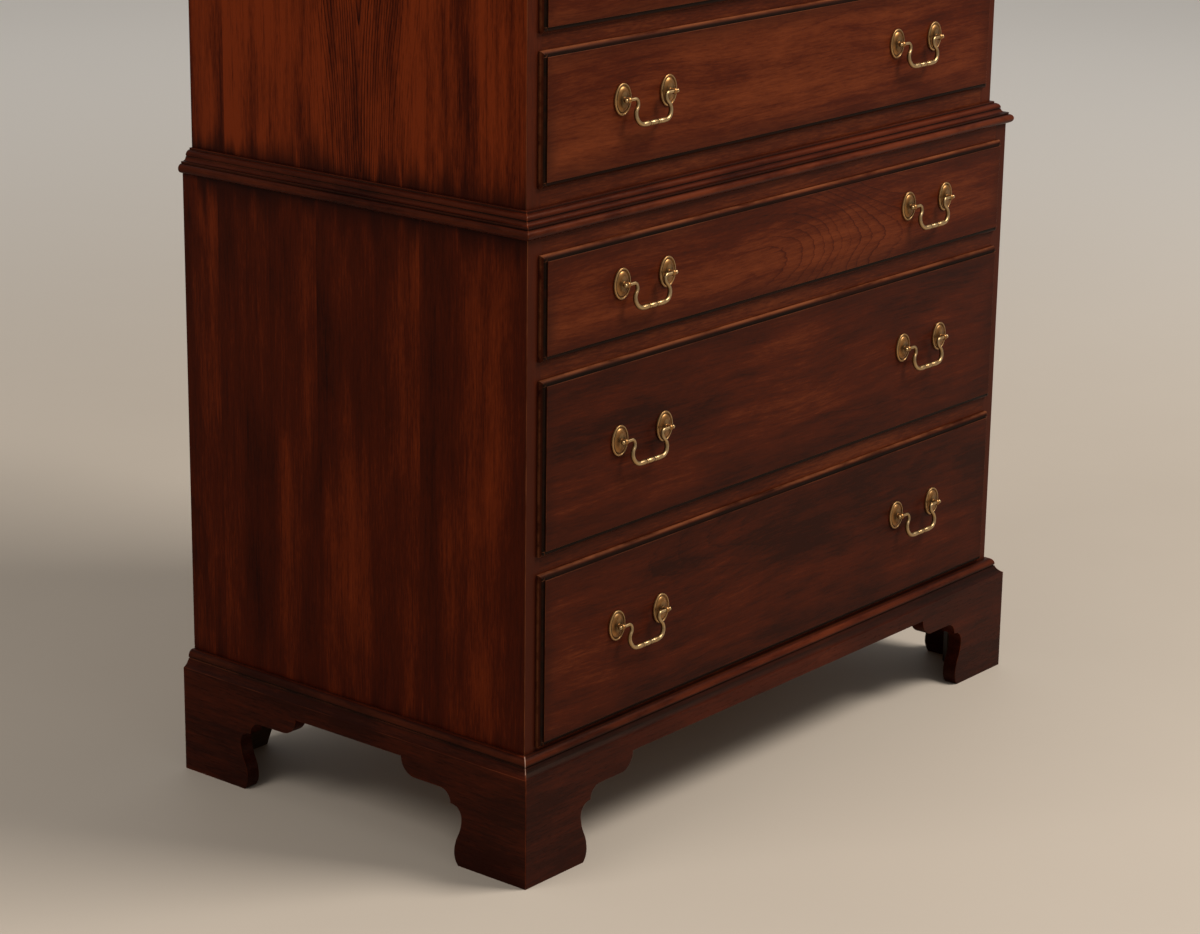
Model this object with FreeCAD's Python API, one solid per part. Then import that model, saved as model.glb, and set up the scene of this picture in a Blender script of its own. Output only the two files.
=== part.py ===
import FreeCAD, Part
import math
import os
from collections import namedtuple

# Tall chest in two cases, one on the other, on a bracket base, with lipped drawers and bail pulls.
# Millimetres. X runs to the right, the front faces -Y and Z runs up. The origin is on the floor, under
# the middle of the whole object.

Vector = FreeCAD.Vector
X_AXIS = Vector(1, 0, 0)
Y_AXIS = Vector(0, 1, 0)
Z_AXIS = Vector(0, 0, 1)
MARGIN = 5.0  # how far a cutting shape reaches past what it cuts

# Cases
overall_height = 1371.9
lower_width = 889.0
lower_depth = 503.0
upper_setback = 15.0  # the upper case stands in by this at the front and at each side
side_thickness = 22.0
back_thickness = 6.0
back_rabbet = 10.0
top_board_thickness = 20.0
lower_top_thickness = 19.0
case_rise = 2.5  # the case's lower edge hides this far above the apron's straight edge

# Graduated drawer fronts, as the parts in which they share out the height that the rest leaves them
lower_bottom_part = 193.0
lower_middle_part = 190.5
lower_top_part = 112.0
upper_bottom_part = 140.5
upper_middle_part = 130.0
upper_top_part = 119.0
small_part = 108.0

# Bare wood that shows between and around the fronts
foot_reveal = 4.0
lower_reveal = 19.5
lower_top_reveal = 18.5
upper_foot_reveal = 19.5
upper_reveal = 17.5
cornice_reveal = 17.5

# Lip and moulded edge of a drawer front
lip_overlap = 5.0  # the lip laps over the case by this on every side
lip_proud = 8.0  # case face to the raised field
lip_gap = 0.3  # case face to the back of the lip
lip_rim = 2.8
lip_round_width = 6.2
lip_round_height = 3.4
lip_round_turn = 70.0

# Drawer box
plug_depth = 14.0
drawer_side_gap = 1.5
drawer_head_gap = 2.5
drawer_run_gap = 0.25
drawer_rear_gap = 27.0
box_side_thickness = 12.0
box_back_thickness = 12.0
box_bottom_thickness = 5.0
box_bottom_rise = 9.0
box_groove = 6.0
tail_length = 10.0
tail_pitch = 38.0
tail_share = 0.36  # half of a tail's wide end, as a share of the pitch
tail_slope = 7.0

# Front rails and runner frames
rail_depth = 60.0
tenon_length = 9.0
tenon_setback = 14.0
tenon_shoulder = 5.0
runner_width = 45.0
runner_thickness = 20.0
rear_rail_depth = 45.0
dust_panel_thickness = 5.0
dust_panel_tongue = 6.0
guide_height = 18.0
centre_runner_width = 80.0

# Bracket base
plinth_thickness = 18.0
plinth_face_height = 124.5
plinth_cove_height = 9.0
plinth_cove_reach = 8.2
plinth_quirk = 1.0
plinth_quirk_height = 1.5
plinth_bead_height = 8.5
plinth_bead_reach = 5.6
plinth_bead_turn = 80.0
apron_height = 105.5
bracket_length = 180.0
bracket_lobe = 20.5
bracket_cusp = 107.5
bracket_cove = 15.0
bracket_neck = 91.5
bracket_neck_round = 14.0
bracket_swell = 102.0
bracket_swell_height = 14.0
bracket_foot = 96.5
rear_bracket_length = 150.0
foot_block_size = 40.0
foot_block_chamfer = 16.0
foot_block_lift = 3.0

# Waist moulding, from its foot upwards
waist_torus = 5.3
waist_torus_stand = 1.6  # the torus's centre stands this far in front of the lower case's face
waist_quirk = 0.6
waist_fillet = 1.7
waist_fillet_step = 1.8
waist_cove = 5.4
waist_ovolo = 6.0
waist_cap = 2.1
waist_cap_reach = 4.0
waist_lap = 11.5  # the moulding laps this far down over the lower case's top edge

# Cornice, from its foot upwards
cornice_bead = 8.0
cornice_bead_reach = 3.0
cornice_fillet = 4.0
cornice_fillet_reach = 7.0
cornice_cove = 20.0
cornice_step = 4.0
cornice_step_reach = 2.0
cornice_ovolo = 8.0
cornice_ovolo_reach = 4.0
cornice_ovolo_turn = 60.0
cornice_fascia = 14.0

# Bail pulls
lower_pull_inset = 179.5  # from the case's side to the middle of the pull
upper_pull_inset = 179.5
pull_rise = 6.5  # the posts stand this far above the middle of the front
bottom_pull_rise = 10.0  # and this far on the bottom drawer
post_spacing = 76.2
pivot_reach = 9.0
post_ball = 3.4
post_neck = 2.1
post_collar = 3.6
post_collar_height = 1.4
post_shank = 2.4
shank_clearance = 0.3
shank_tail = 1.5
nut_width = 8.0
nut_thickness = 3.5
rosette_width = 27.0
rosette_height = 34.0
rosette_rim = 1.5
rosette_rim_width = 1.7
rosette_step = 0.8
rosette_dome = 3.6
rosette_crown_width = 11.0
bail_wire = 1.9
bail_clearance = 0.25
bail_knob = 2.5  # radius of the ball at each end, outside the post
bail_curl = 4.0
bail_curl_place = 23.5
bail_bow_place = 29.0
bail_bow_height = 16.5
bail_drop = 27.5
bail_lean = 9.0  # degrees that the bail stands out from the front, held by its tight pins
bail_grip_length = 36.0
bail_grip_end = 2.1
bail_grip_radius = 2.8
bail_spindle_length = 10.0
bail_spindle_radius = 2.6
bail_bead_width = 3.0
bail_bead_radius = 3.0

# Heights that follow from the sizes above
plinth_top = plinth_face_height + plinth_cove_height + plinth_quirk_height + plinth_bead_height
case_bottom = apron_height + case_rise
waist_height = 2 * waist_torus + waist_quirk + waist_fillet + waist_cove + waist_ovolo + waist_cap
cornice_height = (cornice_bead + cornice_fillet + cornice_cove + cornice_step + cornice_ovolo
                  + cornice_fascia)
lower_parts = (lower_bottom_part, lower_middle_part, lower_top_part)
upper_parts = (upper_bottom_part, upper_middle_part, upper_top_part, small_part)
lower_reveals = foot_reveal + lower_reveal * (len(lower_parts) - 1) + lower_top_reveal
upper_reveals = upper_foot_reveal + upper_reveal * (len(upper_parts) - 1) + cornice_reveal
fronts_height = overall_height - plinth_top - lower_reveals - waist_height - upper_reveals - cornice_height
part_height = fronts_height / sum(lower_parts + upper_parts)
lower_lips = [part * part_height for part in lower_parts]
upper_lips = [part * part_height for part in upper_parts]
lower_first = plinth_top + foot_reveal
waist_bottom = plinth_top + lower_reveals + sum(lower_lips)
waist_top = waist_bottom + waist_height
lower_top = waist_bottom + waist_lap
upper_first = waist_top + upper_foot_reveal
cornice_top = overall_height
cornice_bottom = cornice_top - cornice_height
upper_top = cornice_top - top_board_thickness

# Widths and depths that follow
lower_half = lower_width / 2
upper_half = lower_half - upper_setback
lower_opening_half = lower_half - side_thickness
upper_opening_half = upper_half - side_thickness
lower_pull_offset = lower_half - lower_pull_inset
upper_pull_offset = upper_half - upper_pull_inset
divider_width = upper_reveal + 2 * lip_overlap
cornice_reach = cornice_fillet_reach + cornice_cove + cornice_step_reach + cornice_ovolo_reach
waist_reach = upper_setback + waist_torus_stand + waist_torus
pin_bore = bail_wire + bail_clearance
pin_end = (math.sqrt(post_ball ** 2 - pin_bore ** 2)
           + math.sqrt((bail_knob + bail_clearance) ** 2 - pin_bore ** 2))
bail_reach = (bail_drop * math.sin(math.radians(bail_lean))
              + max(bail_grip_radius, bail_spindle_radius, bail_bead_radius))
front_reach = max(lip_proud + pivot_reach + max(post_ball, bail_reach), plinth_thickness,
                  cornice_reach - upper_setback)
lower_face = front_reach - (lower_depth + front_reach) / 2
upper_face = lower_face + upper_setback
case_back = lower_face + lower_depth
inner_back = case_back - back_thickness
field_front = plug_depth + lip_proud  # thickness of a drawer front from the field to its inner face

Drawer = namedtuple("Drawer", "name centre low width height face pulls pull_height")


class Outline:
    """A closed flat outline, drawn point by point with straight lines and arcs."""

    def __init__(self, u, v):
        self.start = (u, v)
        self.end = (u, v)
        self.steps = []

    def line(self, u, v):
        self.steps.append((self.end, None, (u, v)))
        self.end = (u, v)
        return self

    def arc(self, u, v, turn):
        """Adds an arc that turns by so many degrees, counter-clockwise if positive."""
        u0, v0 = self.end
        bow = math.tan(math.radians(turn) / 4) / 2
        middle = ((u0 + u) / 2 + (v - v0) * bow, (v0 + v) / 2 - (u - u0) * bow)
        self.steps.append((self.end, middle, (u, v)))
        self.end = (u, v)
        return self

    def mirrored(self):
        """Closes the outline with its own mirror image about the line u = 0."""
        steps = list(self.steps)
        self.line(-self.end[0], self.end[1])
        for start, middle, end in reversed(steps):
            turned = (-middle[0], middle[1]) if middle else None
            self.steps.append((self.end, turned, (-start[0], start[1])))
            self.end = (-start[0], start[1])
        return self

    def wire(self, origin, u_axis, v_axis, close=True):
        steps = list(self.steps)
        if close and math.dist(self.start, self.end) > 1e-6:
            steps.append((self.end, None, self.start))
        edges = []
        for step in steps:
            points = [origin + u_axis * point[0] + v_axis * point[1] for point in step if point]
            curve = Part.LineSegment(*points) if len(points) == 2 else Part.Arc(*points)
            edges.append(curve.toShape())
        return Part.Wire(edges)

    def extruded(self, origin, u_axis, v_axis, sweep):
        return Part.Face(self.wire(origin, u_axis, v_axis)).extrude(sweep)

    def revolved(self, origin, u_axis, v_axis):
        """Turns the outline about the axis through the origin along v."""
        return Part.Face(self.wire(origin, u_axis, v_axis)).revolve(origin, v_axis, 360)


def block(x0, x1, y0, y1, z0, z1):
    return Part.makeBox(x1 - x0, y1 - y0, z1 - z0, Vector(x0, y0, z0))


def mirror_x(shape):
    return shape.mirror(Vector(0, 0, 0), X_AXIS)


def plan_prism(points, low, high):
    outline = Outline(*points[0])
    for point in points[1:]:
        outline.line(*point)
    return outline.extruded(Vector(0, 0, low), X_AXIS, Y_AXIS, Z_AXIS * (high - low))


def mitred_frame(section, half, face, reach, low, high):
    """Runs a section round the front and both sides of a case, mitred at the front corners.

    The section's u is the distance out from the case's face and its v is the height.
    """
    low -= MARGIN
    high += MARGIN
    front = section.extruded(Vector(-half - reach, face, 0), -Y_AXIS, Z_AXIS, X_AXIS * 2 * (half + reach))
    corner = (half + reach, face - reach)
    front_plan = [(-corner[0], corner[1]), corner, (half, face), (-half, face)]
    front = front.common(plan_prism(front_plan, low, high))
    left = section.extruded(Vector(-half, face - reach, 0), -X_AXIS, Z_AXIS,
                            Y_AXIS * (case_back - face + reach))
    left_plan = [(-corner[0], corner[1]), (-half, face), (-half, case_back), (-corner[0], case_back)]
    left = left.common(plan_prism(left_plan, low, high))
    return front, left, mirror_x(left)


def plinth_section():
    cove_top = plinth_face_height + plinth_cove_height
    bead_foot = cove_top + plinth_quirk_height
    cove_back = plinth_thickness - plinth_cove_reach
    section = Outline(0, 0).line(plinth_thickness, 0).line(plinth_thickness, plinth_face_height)
    section.arc(cove_back, cove_top, -45)
    section.line(cove_back - plinth_quirk, cove_top).line(cove_back - plinth_quirk, bead_foot)
    section.line(cove_back, bead_foot).arc(cove_back - plinth_bead_reach, plinth_top, plinth_bead_turn)
    return section.line(0, plinth_top)


def waist_section():
    torus_centre = upper_setback + waist_torus_stand
    torus_top = waist_bottom + 2 * waist_torus
    fillet_foot = torus_top + waist_quirk
    cove_foot = fillet_foot + waist_fillet
    cove_back = waist_cap_reach + waist_ovolo
    cove_front = cove_back + waist_cove
    section = Outline(0, waist_top).line(waist_cap_reach, waist_top)
    section.line(waist_cap_reach, waist_top - waist_cap)
    section.arc(cove_back, cove_foot + waist_cove, -90).arc(cove_front, cove_foot, 90)
    section.line(cove_front + waist_fillet_step, cove_foot)
    section.line(cove_front + waist_fillet_step, fillet_foot).line(torus_centre, torus_top)
    section.arc(torus_centre, waist_bottom, -180).line(upper_setback, waist_bottom)
    return section.line(upper_setback, lower_top).line(0, lower_top)


def cornice_section():
    bead_top = cornice_bottom + cornice_bead
    cove_foot = bead_top + cornice_fillet
    cove_top = cove_foot + cornice_cove
    step_top = cove_top + cornice_step
    cove_front = cornice_fillet_reach + cornice_cove
    step_front = cove_front + cornice_step_reach
    section = Outline(0, cornice_bottom).line(cornice_bead_reach, cornice_bottom)
    section.arc(cornice_bead_reach, bead_top, 180)
    section.line(cornice_fillet_reach, bead_top).line(cornice_fillet_reach, cove_foot)
    section.arc(cove_front, cove_top, -90).line(cove_front, step_top).line(step_front, step_top)
    section.arc(cornice_reach, step_top + cornice_ovolo, cornice_ovolo_turn)
    return section.line(cornice_reach, cornice_top).line(0, cornice_top)


def leaving_turn(across, along):
    """How far an arc turns that starts along one direction and ends so far along and across it."""
    return 2 * math.degrees(math.atan2(across, along))


def bracket_opening(length):
    """The space under a base board, between its two scrolled brackets."""
    half = length / 2
    lobe_foot = apron_height - bracket_lobe
    cusp_height = lobe_foot - bracket_cove
    neck_height = cusp_height - bracket_neck_round
    swell_fall = neck_height - bracket_swell_height
    swell_turn = leaving_turn(bracket_swell - bracket_neck, swell_fall)
    foot_turn = leaving_turn(bracket_swell - bracket_foot, bracket_swell_height)
    opening = Outline(0, apron_height).line(half - bracket_length, apron_height)
    opening.arc(half - bracket_length + bracket_lobe, lobe_foot, 90)
    opening.line(half - bracket_cusp - bracket_cove, lobe_foot)
    opening.arc(half - bracket_cusp, cusp_height, -90)
    opening.line(half - bracket_neck - bracket_neck_round, cusp_height)
    opening.arc(half - bracket_neck, neck_height, -90)
    opening.arc(half - (bracket_neck + bracket_swell) / 2, neck_height - swell_fall / 2, -swell_turn)
    opening.arc(half - bracket_swell, bracket_swell_height, swell_turn)
    opening.arc(half - bracket_foot, 0, foot_turn).line(half - bracket_foot, -MARGIN)
    return opening.mirrored()


def make_plinth():
    section = plinth_section()
    front, left, _ = mitred_frame(section, lower_half, lower_face, plinth_thickness, 0, plinth_top)
    through = plinth_thickness + 2 * MARGIN
    front_cut = bracket_opening(lower_width + 2 * plinth_thickness).extruded(
        Vector(0, lower_face - plinth_thickness - MARGIN, 0), X_AXIS, Z_AXIS, Y_AXIS * through)
    side_length = lower_depth + plinth_thickness
    side_cut = bracket_opening(side_length).extruded(
        Vector(-lower_half - plinth_thickness - MARGIN, case_back - side_length / 2, 0), Y_AXIS, Z_AXIS,
        X_AXIS * through)
    left = left.cut(side_cut)
    return front.cut(front_cut), left, mirror_x(left)


def make_rear_brackets():
    """Plain brackets behind the rear feet, cut off on the slant."""
    outline = Outline(0, 0).line(bracket_foot, 0).line(rear_bracket_length, apron_height)
    outline.line(rear_bracket_length, case_bottom).line(0, case_bottom)
    left = outline.extruded(Vector(-lower_half, case_back - plinth_thickness, 0), X_AXIS, Z_AXIS,
                            Y_AXIS * plinth_thickness)
    return [left, mirror_x(left)]


def make_foot_blocks():
    """Upright glue blocks in the four corners of the base, under the case's sides."""
    size = foot_block_size
    cut = size - foot_block_chamfer
    blocks = []
    for corner, way in ((lower_face, 1), (case_back - plinth_thickness, -1)):
        plan = [(0, 0), (size, 0), (size, way * cut), (cut, way * size), (0, way * size)]
        points = [(x - lower_half, corner + y) for x, y in plan]
        left = plan_prism(points, foot_block_lift, case_bottom)
        blocks += [left, mirror_x(left)]
    return blocks


def lip_bottoms(first, lips, reveal):
    """Heights of the lower edges of a stack of lipped fronts."""
    return [first + sum(lips[:index]) + reveal * index for index in range(len(lips))]


def openings(first, lips, reveal):
    """The clear heights of the openings behind a stack of lipped fronts."""
    return [(low + lip_overlap, low + lip - lip_overlap)
            for low, lip in zip(lip_bottoms(first, lips, reveal), lips)]


lower_openings = openings(lower_first, lower_lips, lower_reveal)
upper_openings = openings(upper_first, upper_lips, upper_reveal)


def rail_spans(case_openings, low, high):
    """Heights of the front rails: below, between and above the openings."""
    edges = [low] + [edge for opening in case_openings for edge in opening] + [high]
    return list(zip(edges[0::2], edges[1::2]))


def rail_tenons(spans, half, face):
    """Stub tenons on the rails' left ends, set back so that none shows at the front."""
    return [block(-half - tenon_length, -half, face + tenon_setback, face + rail_depth - tenon_shoulder,
                  low + tenon_shoulder, high - tenon_shoulder) for low, high in spans]


def make_side(half, face, low, high, tenons):
    """A left side board with a rabbet for the back panel and a mortise for each rail."""
    side = block(-half, -half + side_thickness, face, case_back, low, high)
    rabbet = block(-half + side_thickness - back_rabbet, -half + side_thickness + MARGIN, inner_back,
                   case_back + MARGIN, low - MARGIN, high + MARGIN)
    return side.cut([rabbet] + tenons)


def make_back(half, low, high):
    reach = half - side_thickness + back_rabbet
    return block(-reach, reach, inner_back, case_back, low, high)


def make_rails(spans, half, face, tenons):
    rails = []
    for (low, high), tenon in zip(spans, tenons):
        rail = block(-half, half, face, face + rail_depth, low, high)
        rails.append(rail.fuse([tenon, mirror_x(tenon)]).removeSplitter())
    return rails


def make_runner_frame(level, half, face, centre):
    """One level of runners, back rail and dust panels. A centre runner is added if it has a width."""
    low = level - runner_thickness
    front = face + rail_depth
    rear = inner_back - rear_rail_depth
    left = block(-half, -half + runner_width, front, inner_back, low, level)
    inner = half - runner_width
    frame = [left, mirror_x(left), block(-inner, inner, rear, inner_back, low, level)]
    bays = [(-inner, inner)]
    if centre:
        frame.append(block(-centre / 2, centre / 2, front, rear, low, level))
        bays = [(-inner, -centre / 2), (centre / 2, inner)]
    panel_low = (low + level - dust_panel_thickness) / 2
    panels = [block(start - dust_panel_tongue, end + dust_panel_tongue, front - dust_panel_tongue,
                    rear + dust_panel_tongue, panel_low, panel_low + dust_panel_thickness)
              for start, end in bays]
    return [piece.cut(panels) for piece in frame] + panels, panels


def make_kickers(half, face, low, high):
    """Strips above the top drawers that keep them from tipping as they are pulled out."""
    left = block(-half, -half + runner_width, face + rail_depth, inner_back, low, high)
    return [left, mirror_x(left)]


def case_frames(case_openings, half, face, centre_level):
    """Runner frames of one case, and their dust panels, which the rails are grooved for."""
    pieces = []
    panels = []
    for low, high in case_openings:
        centre = centre_runner_width if low == centre_level else 0
        frame, frame_panels = make_runner_frame(low, half, face, centre)
        pieces += frame
        panels += frame_panels
    return pieces, panels


def make_small_divider():
    """The upright between the two small drawers and the guide that runs back from it."""
    low, high = upper_openings[-1]
    half = divider_width / 2
    front = upper_face + rail_depth
    upright = block(-half, half, upper_face, front, low, high)
    guide = block(-half, half, front, inner_back, low, low + guide_height)
    return [upright, guide]


def list_drawers():
    """Every drawer by its opening, numbered from the top of each case."""
    drawers = []
    cases = (("lower", lower_openings, lower_opening_half, lower_face, lower_pull_offset),
             ("upper", upper_openings[:-1], upper_opening_half, upper_face, upper_pull_offset))
    for word, stack, half, face, offset in cases:
        pulls = {"left_": -offset, "right_": offset}
        for number, (low, high) in enumerate(reversed(stack), 1):
            name = "%s_drawer_%d" % (word, number)
            rise = bottom_pull_rise if (low, high) == lower_openings[0] else pull_rise
            drawers.append(Drawer(name, 0, low, 2 * half, high - low, face, pulls, (low + high) / 2 + rise))
    low, high = upper_openings[-1]
    width = upper_opening_half - divider_width / 2
    for word, way in (("left", -1), ("right", 1)):
        centre = way * (divider_width + width) / 2
        name = "small_%s_drawer" % word
        height = (low + high) / 2 + pull_rise
        drawers.append(Drawer(name, centre, low, width, high - low, upper_face, {"": 0}, height))
    return drawers


def make_lipped_front(drawer):
    """The front board before its joints: a plug in the opening and a lip with a moulded edge."""
    half = drawer.width / 2
    low = drawer.low
    high = low + drawer.height
    plug = block(-half + drawer_side_gap, half - drawer_side_gap, drawer.face - lip_gap,
                 drawer.face + plug_depth, low + drawer_run_gap, high - drawer_head_gap)
    field = drawer.face - lip_proud
    left, right = -half - lip_overlap, half + lip_overlap
    foot, head = low - lip_overlap, high + lip_overlap
    lip = block(left, right, field, drawer.face - lip_gap, foot, head)
    step = lip_rim + lip_round_height
    waste = Outline(-MARGIN, lip_rim).line(0, lip_rim).arc(lip_round_width, step, -lip_round_turn)
    waste.line(lip_round_width, lip_proud + MARGIN).line(-MARGIN, lip_proud + MARGIN)
    across = X_AXIS * (right - left)
    upright = Z_AXIS * (head - foot)
    cuts = [waste.extruded(Vector(left, drawer.face, foot), Z_AXIS, -Y_AXIS, across),
            waste.extruded(Vector(left, drawer.face, head), -Z_AXIS, -Y_AXIS, across),
            waste.extruded(Vector(left, drawer.face, foot), X_AXIS, -Y_AXIS, upright),
            waste.extruded(Vector(right, drawer.face, foot), -X_AXIS, -Y_AXIS, upright)]
    return lip.cut(cuts).fuse(plug).removeSplitter()


def make_tails(x0, x1, low, high, shoulder, length):
    """Dovetails along the end of a box side. They widen from the shoulder to their tips."""
    count = max(2, round((high - low) / tail_pitch))
    pitch = (high - low) / count
    wide = pitch * tail_share
    narrow = wide - abs(length) / tail_slope
    tails = []
    for index in range(count):
        middle = low + pitch * (index + 0.5)
        tail = Outline(shoulder, middle - narrow).line(shoulder + length, middle - wide)
        tail.line(shoulder + length, middle + wide).line(shoulder, middle + narrow)
        tails.append(tail.extruded(Vector(x0, 0, 0), Y_AXIS, Z_AXIS, X_AXIS * (x1 - x0)))
    return tails


def make_drawer_wood(drawer):
    """A drawer's front and its box, joined by dovetails, about the drawer's own middle."""
    half = drawer.width / 2 - drawer_side_gap
    low = drawer.low + drawer_run_gap
    high = drawer.low + drawer.height - drawer_head_gap
    shoulder = drawer.face + plug_depth
    rear = inner_back - drawer_rear_gap
    inner = half - box_side_thickness
    panel_low = low + box_bottom_rise
    panel_high = panel_low + box_bottom_thickness
    reach = inner + box_groove
    panel = block(-reach, reach, shoulder - box_groove, rear, panel_low, panel_high)
    front_tails = make_tails(-half, -inner, low, high, shoulder, -tail_length)
    rear_tails = make_tails(-half, -inner, panel_high, high, rear - box_back_thickness, box_back_thickness)
    front = make_lipped_front(drawer)
    front = front.cut(front_tails + [mirror_x(tail) for tail in front_tails] + [panel])
    back = block(-half, half, rear - box_back_thickness, rear, panel_high, high)
    back = back.cut(rear_tails + [mirror_x(tail) for tail in rear_tails])
    body = block(-half, -inner, shoulder, rear, low, high).cut([back, panel])
    left = body.fuse([tail.cut(panel) for tail in front_tails]).removeSplitter()
    return front, [left, mirror_x(left), back, panel]


def make_rosette():
    """An oval plate with a raised rim and a domed middle, facing -Y from the plane y = 0."""
    wide, tall = rosette_width / 2, rosette_height / 2
    crown = rosette_crown_width / 2
    rings = [(0, 0), (0, rosette_rim), (rosette_rim_width, rosette_rim + rosette_step),
             (2 * rosette_rim_width, rosette_rim), (wide - crown, rosette_dome)]
    wires = []
    for inset, rise in rings:
        ends = [Vector(0, -rise, tall - inset), Vector(wide - inset, -rise, 0)]
        ends.sort(key=lambda end: max(end.x, end.z), reverse=True)
        oval = Part.Ellipse(*ends, Vector(0, -rise, 0))
        wires.append(Part.Wire([oval.toShape()]))
    bore = Part.makeCylinder(post_shank, rosette_dome + 2 * MARGIN, Vector(0, MARGIN, 0), -Y_AXIS)
    return Part.makeLoft(wires, True, True).cut(bore)


def make_post():
    """A turned post with a ball head bored for the bail, and a shank that goes through the front."""
    shank_end = field_front + nut_thickness + shank_tail
    collar_top = rosette_dome + post_collar_height
    ball_foot = pivot_reach - math.sqrt(post_ball ** 2 - post_neck ** 2)
    ball_turn = 180 - math.degrees(math.asin(post_neck / post_ball))
    outline = Outline(0, -shank_end).line(post_shank, -shank_end).line(post_shank, rosette_dome)
    outline.line(post_collar, rosette_dome).arc(post_neck, collar_top, -90).line(post_neck, ball_foot)
    outline.arc(0, pivot_reach + post_ball, ball_turn)
    post = outline.revolved(Vector(0, 0, 0), X_AXIS, -Y_AXIS)
    reach = post_ball + MARGIN
    return post.cut(Part.makeCylinder(pin_bore, 2 * reach, Vector(-reach, -pivot_reach, 0), X_AXIS))


def make_nut():
    corner = nut_width / math.sqrt(3)
    angles = [math.radians(60 * turn) for turn in range(6)]
    outline = Outline(corner, 0)
    for angle in angles[1:]:
        outline.line(corner * math.cos(angle), corner * math.sin(angle))
    nut = outline.extruded(Vector(0, field_front, 0), X_AXIS, Z_AXIS, Y_AXIS * nut_thickness)
    return nut.cut(Part.makeCylinder(post_shank, nut_thickness, Vector(0, field_front, 0), Y_AXIS))


def bulge_turn(chord, rise):
    """How far an arc turns to rise by so much over its chord."""
    return 4 * math.degrees(math.atan2(2 * rise, chord))


def make_bail():
    """A swan-neck bail with a turned grip and knobbed pins. The pivot axis is X, through the origin."""
    fall = bail_bow_height - bail_curl
    sway = leaving_turn(bail_bow_place - bail_curl_place, fall)
    corner = bail_drop - bail_bow_height
    path = Outline(0, -bail_drop).line(bail_bow_place - corner, -bail_drop)
    path.arc(bail_bow_place, -bail_bow_height, 90)
    path.arc((bail_bow_place + bail_curl_place) / 2, -bail_curl - fall / 2, sway)
    path.arc(bail_curl_place, -bail_curl, -sway)
    path.arc(bail_curl_place + bail_curl, 0, -90).line(post_spacing / 2 + pin_end, 0)
    circle = Part.Wire([Part.makeCircle(bail_wire, Vector(0, 0, -bail_drop), X_AXIS)])
    spine = path.wire(Vector(0, 0, 0), X_AXIS, Z_AXIS, close=False)
    arm = spine.makePipeShell([circle], True, False)
    right = arm.fuse(Part.makeSphere(bail_knob, Vector(post_spacing / 2 + pin_end, 0, 0)))
    half = bail_grip_length / 2
    swell = (bail_grip_length - bail_spindle_length) / 2 - bail_bead_width
    turnings = ((swell, bail_grip_radius), (bail_bead_width, bail_bead_radius),
                (bail_spindle_length, bail_spindle_radius), (bail_bead_width, bail_bead_radius),
                (swell, bail_grip_radius))
    grip = Outline(0, -half).line(bail_grip_end, -half)
    for length, radius in turnings:
        grip.arc(bail_grip_end, grip.end[1] + length, bulge_turn(length, radius - bail_grip_end))
    grip.line(0, half)
    turned = grip.revolved(Vector(0, 0, -bail_drop), Z_AXIS, X_AXIS)
    bail = right.fuse([mirror_x(right), turned]).removeSplitter()
    bail.rotate(Vector(0, 0, 0), X_AXIS, -bail_lean)
    return bail


def write(name, pieces):
    """Writes one node: a single solid, or a group of separate solids."""
    shape = pieces[0] if len(pieces) == 1 else Part.makeCompound(pieces)
    shape.exportStep("parts/%s.step" % name)


def write_drawer(drawer, fittings, bail):
    """Writes a drawer's front, its box, its pulls' fixed pieces and its bails."""
    front, box = make_drawer_wood(drawer)
    shift = Vector(drawer.centre, 0, 0)
    field = drawer.face - lip_proud
    hole = Part.makeCylinder(post_shank + shank_clearance, field_front, Vector(0, 0, 0), Y_AXIS)
    mounts = []
    for word, offset in drawer.pulls.items():
        for way in (-1, 1):
            place = Vector(offset + way * post_spacing / 2, field, drawer.pull_height)
            front = front.cut(hole.translated(place))
            mounts += [piece.translated(place + shift) for piece in fittings]
        pivot = Vector(offset, field - pivot_reach, drawer.pull_height)
        write("%s_%sbail" % (drawer.name, word), [bail.translated(pivot + shift)])
    write(drawer.name + "_front", [front.translated(shift)])
    write(drawer.name + "_box", [piece.translated(shift) for piece in box])
    write(drawer.name + "_pull_posts", mounts)


def write_base():
    front, left, right = make_plinth()
    write("plinth_front", [front])
    write("plinth_left", [left])
    write("plinth_right", [right])
    write("rear_foot_brackets", make_rear_brackets())
    write("foot_glue_blocks", make_foot_blocks())


def write_case(word, case_openings, half, face, low, high, centre_level, extra_frame):
    """Writes the sides, back, rails and runner frames of one case."""
    opening_half = half - side_thickness
    spans = rail_spans(case_openings, low, high)
    tenons = rail_tenons(spans, opening_half, face)
    frames, panels = case_frames(case_openings, opening_half, face, centre_level)
    left = make_side(half, face, low, high, tenons)
    write(word + "_left_side", [left])
    write(word + "_right_side", [mirror_x(left)])
    write(word + "_back_panel", [make_back(half, low, high)])
    rails = make_rails(spans, opening_half, face, tenons)
    write(word + "_front_rails", [rail.cut(panels) for rail in rails])
    write(word + "_runner_frames", frames + extra_frame)


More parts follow.
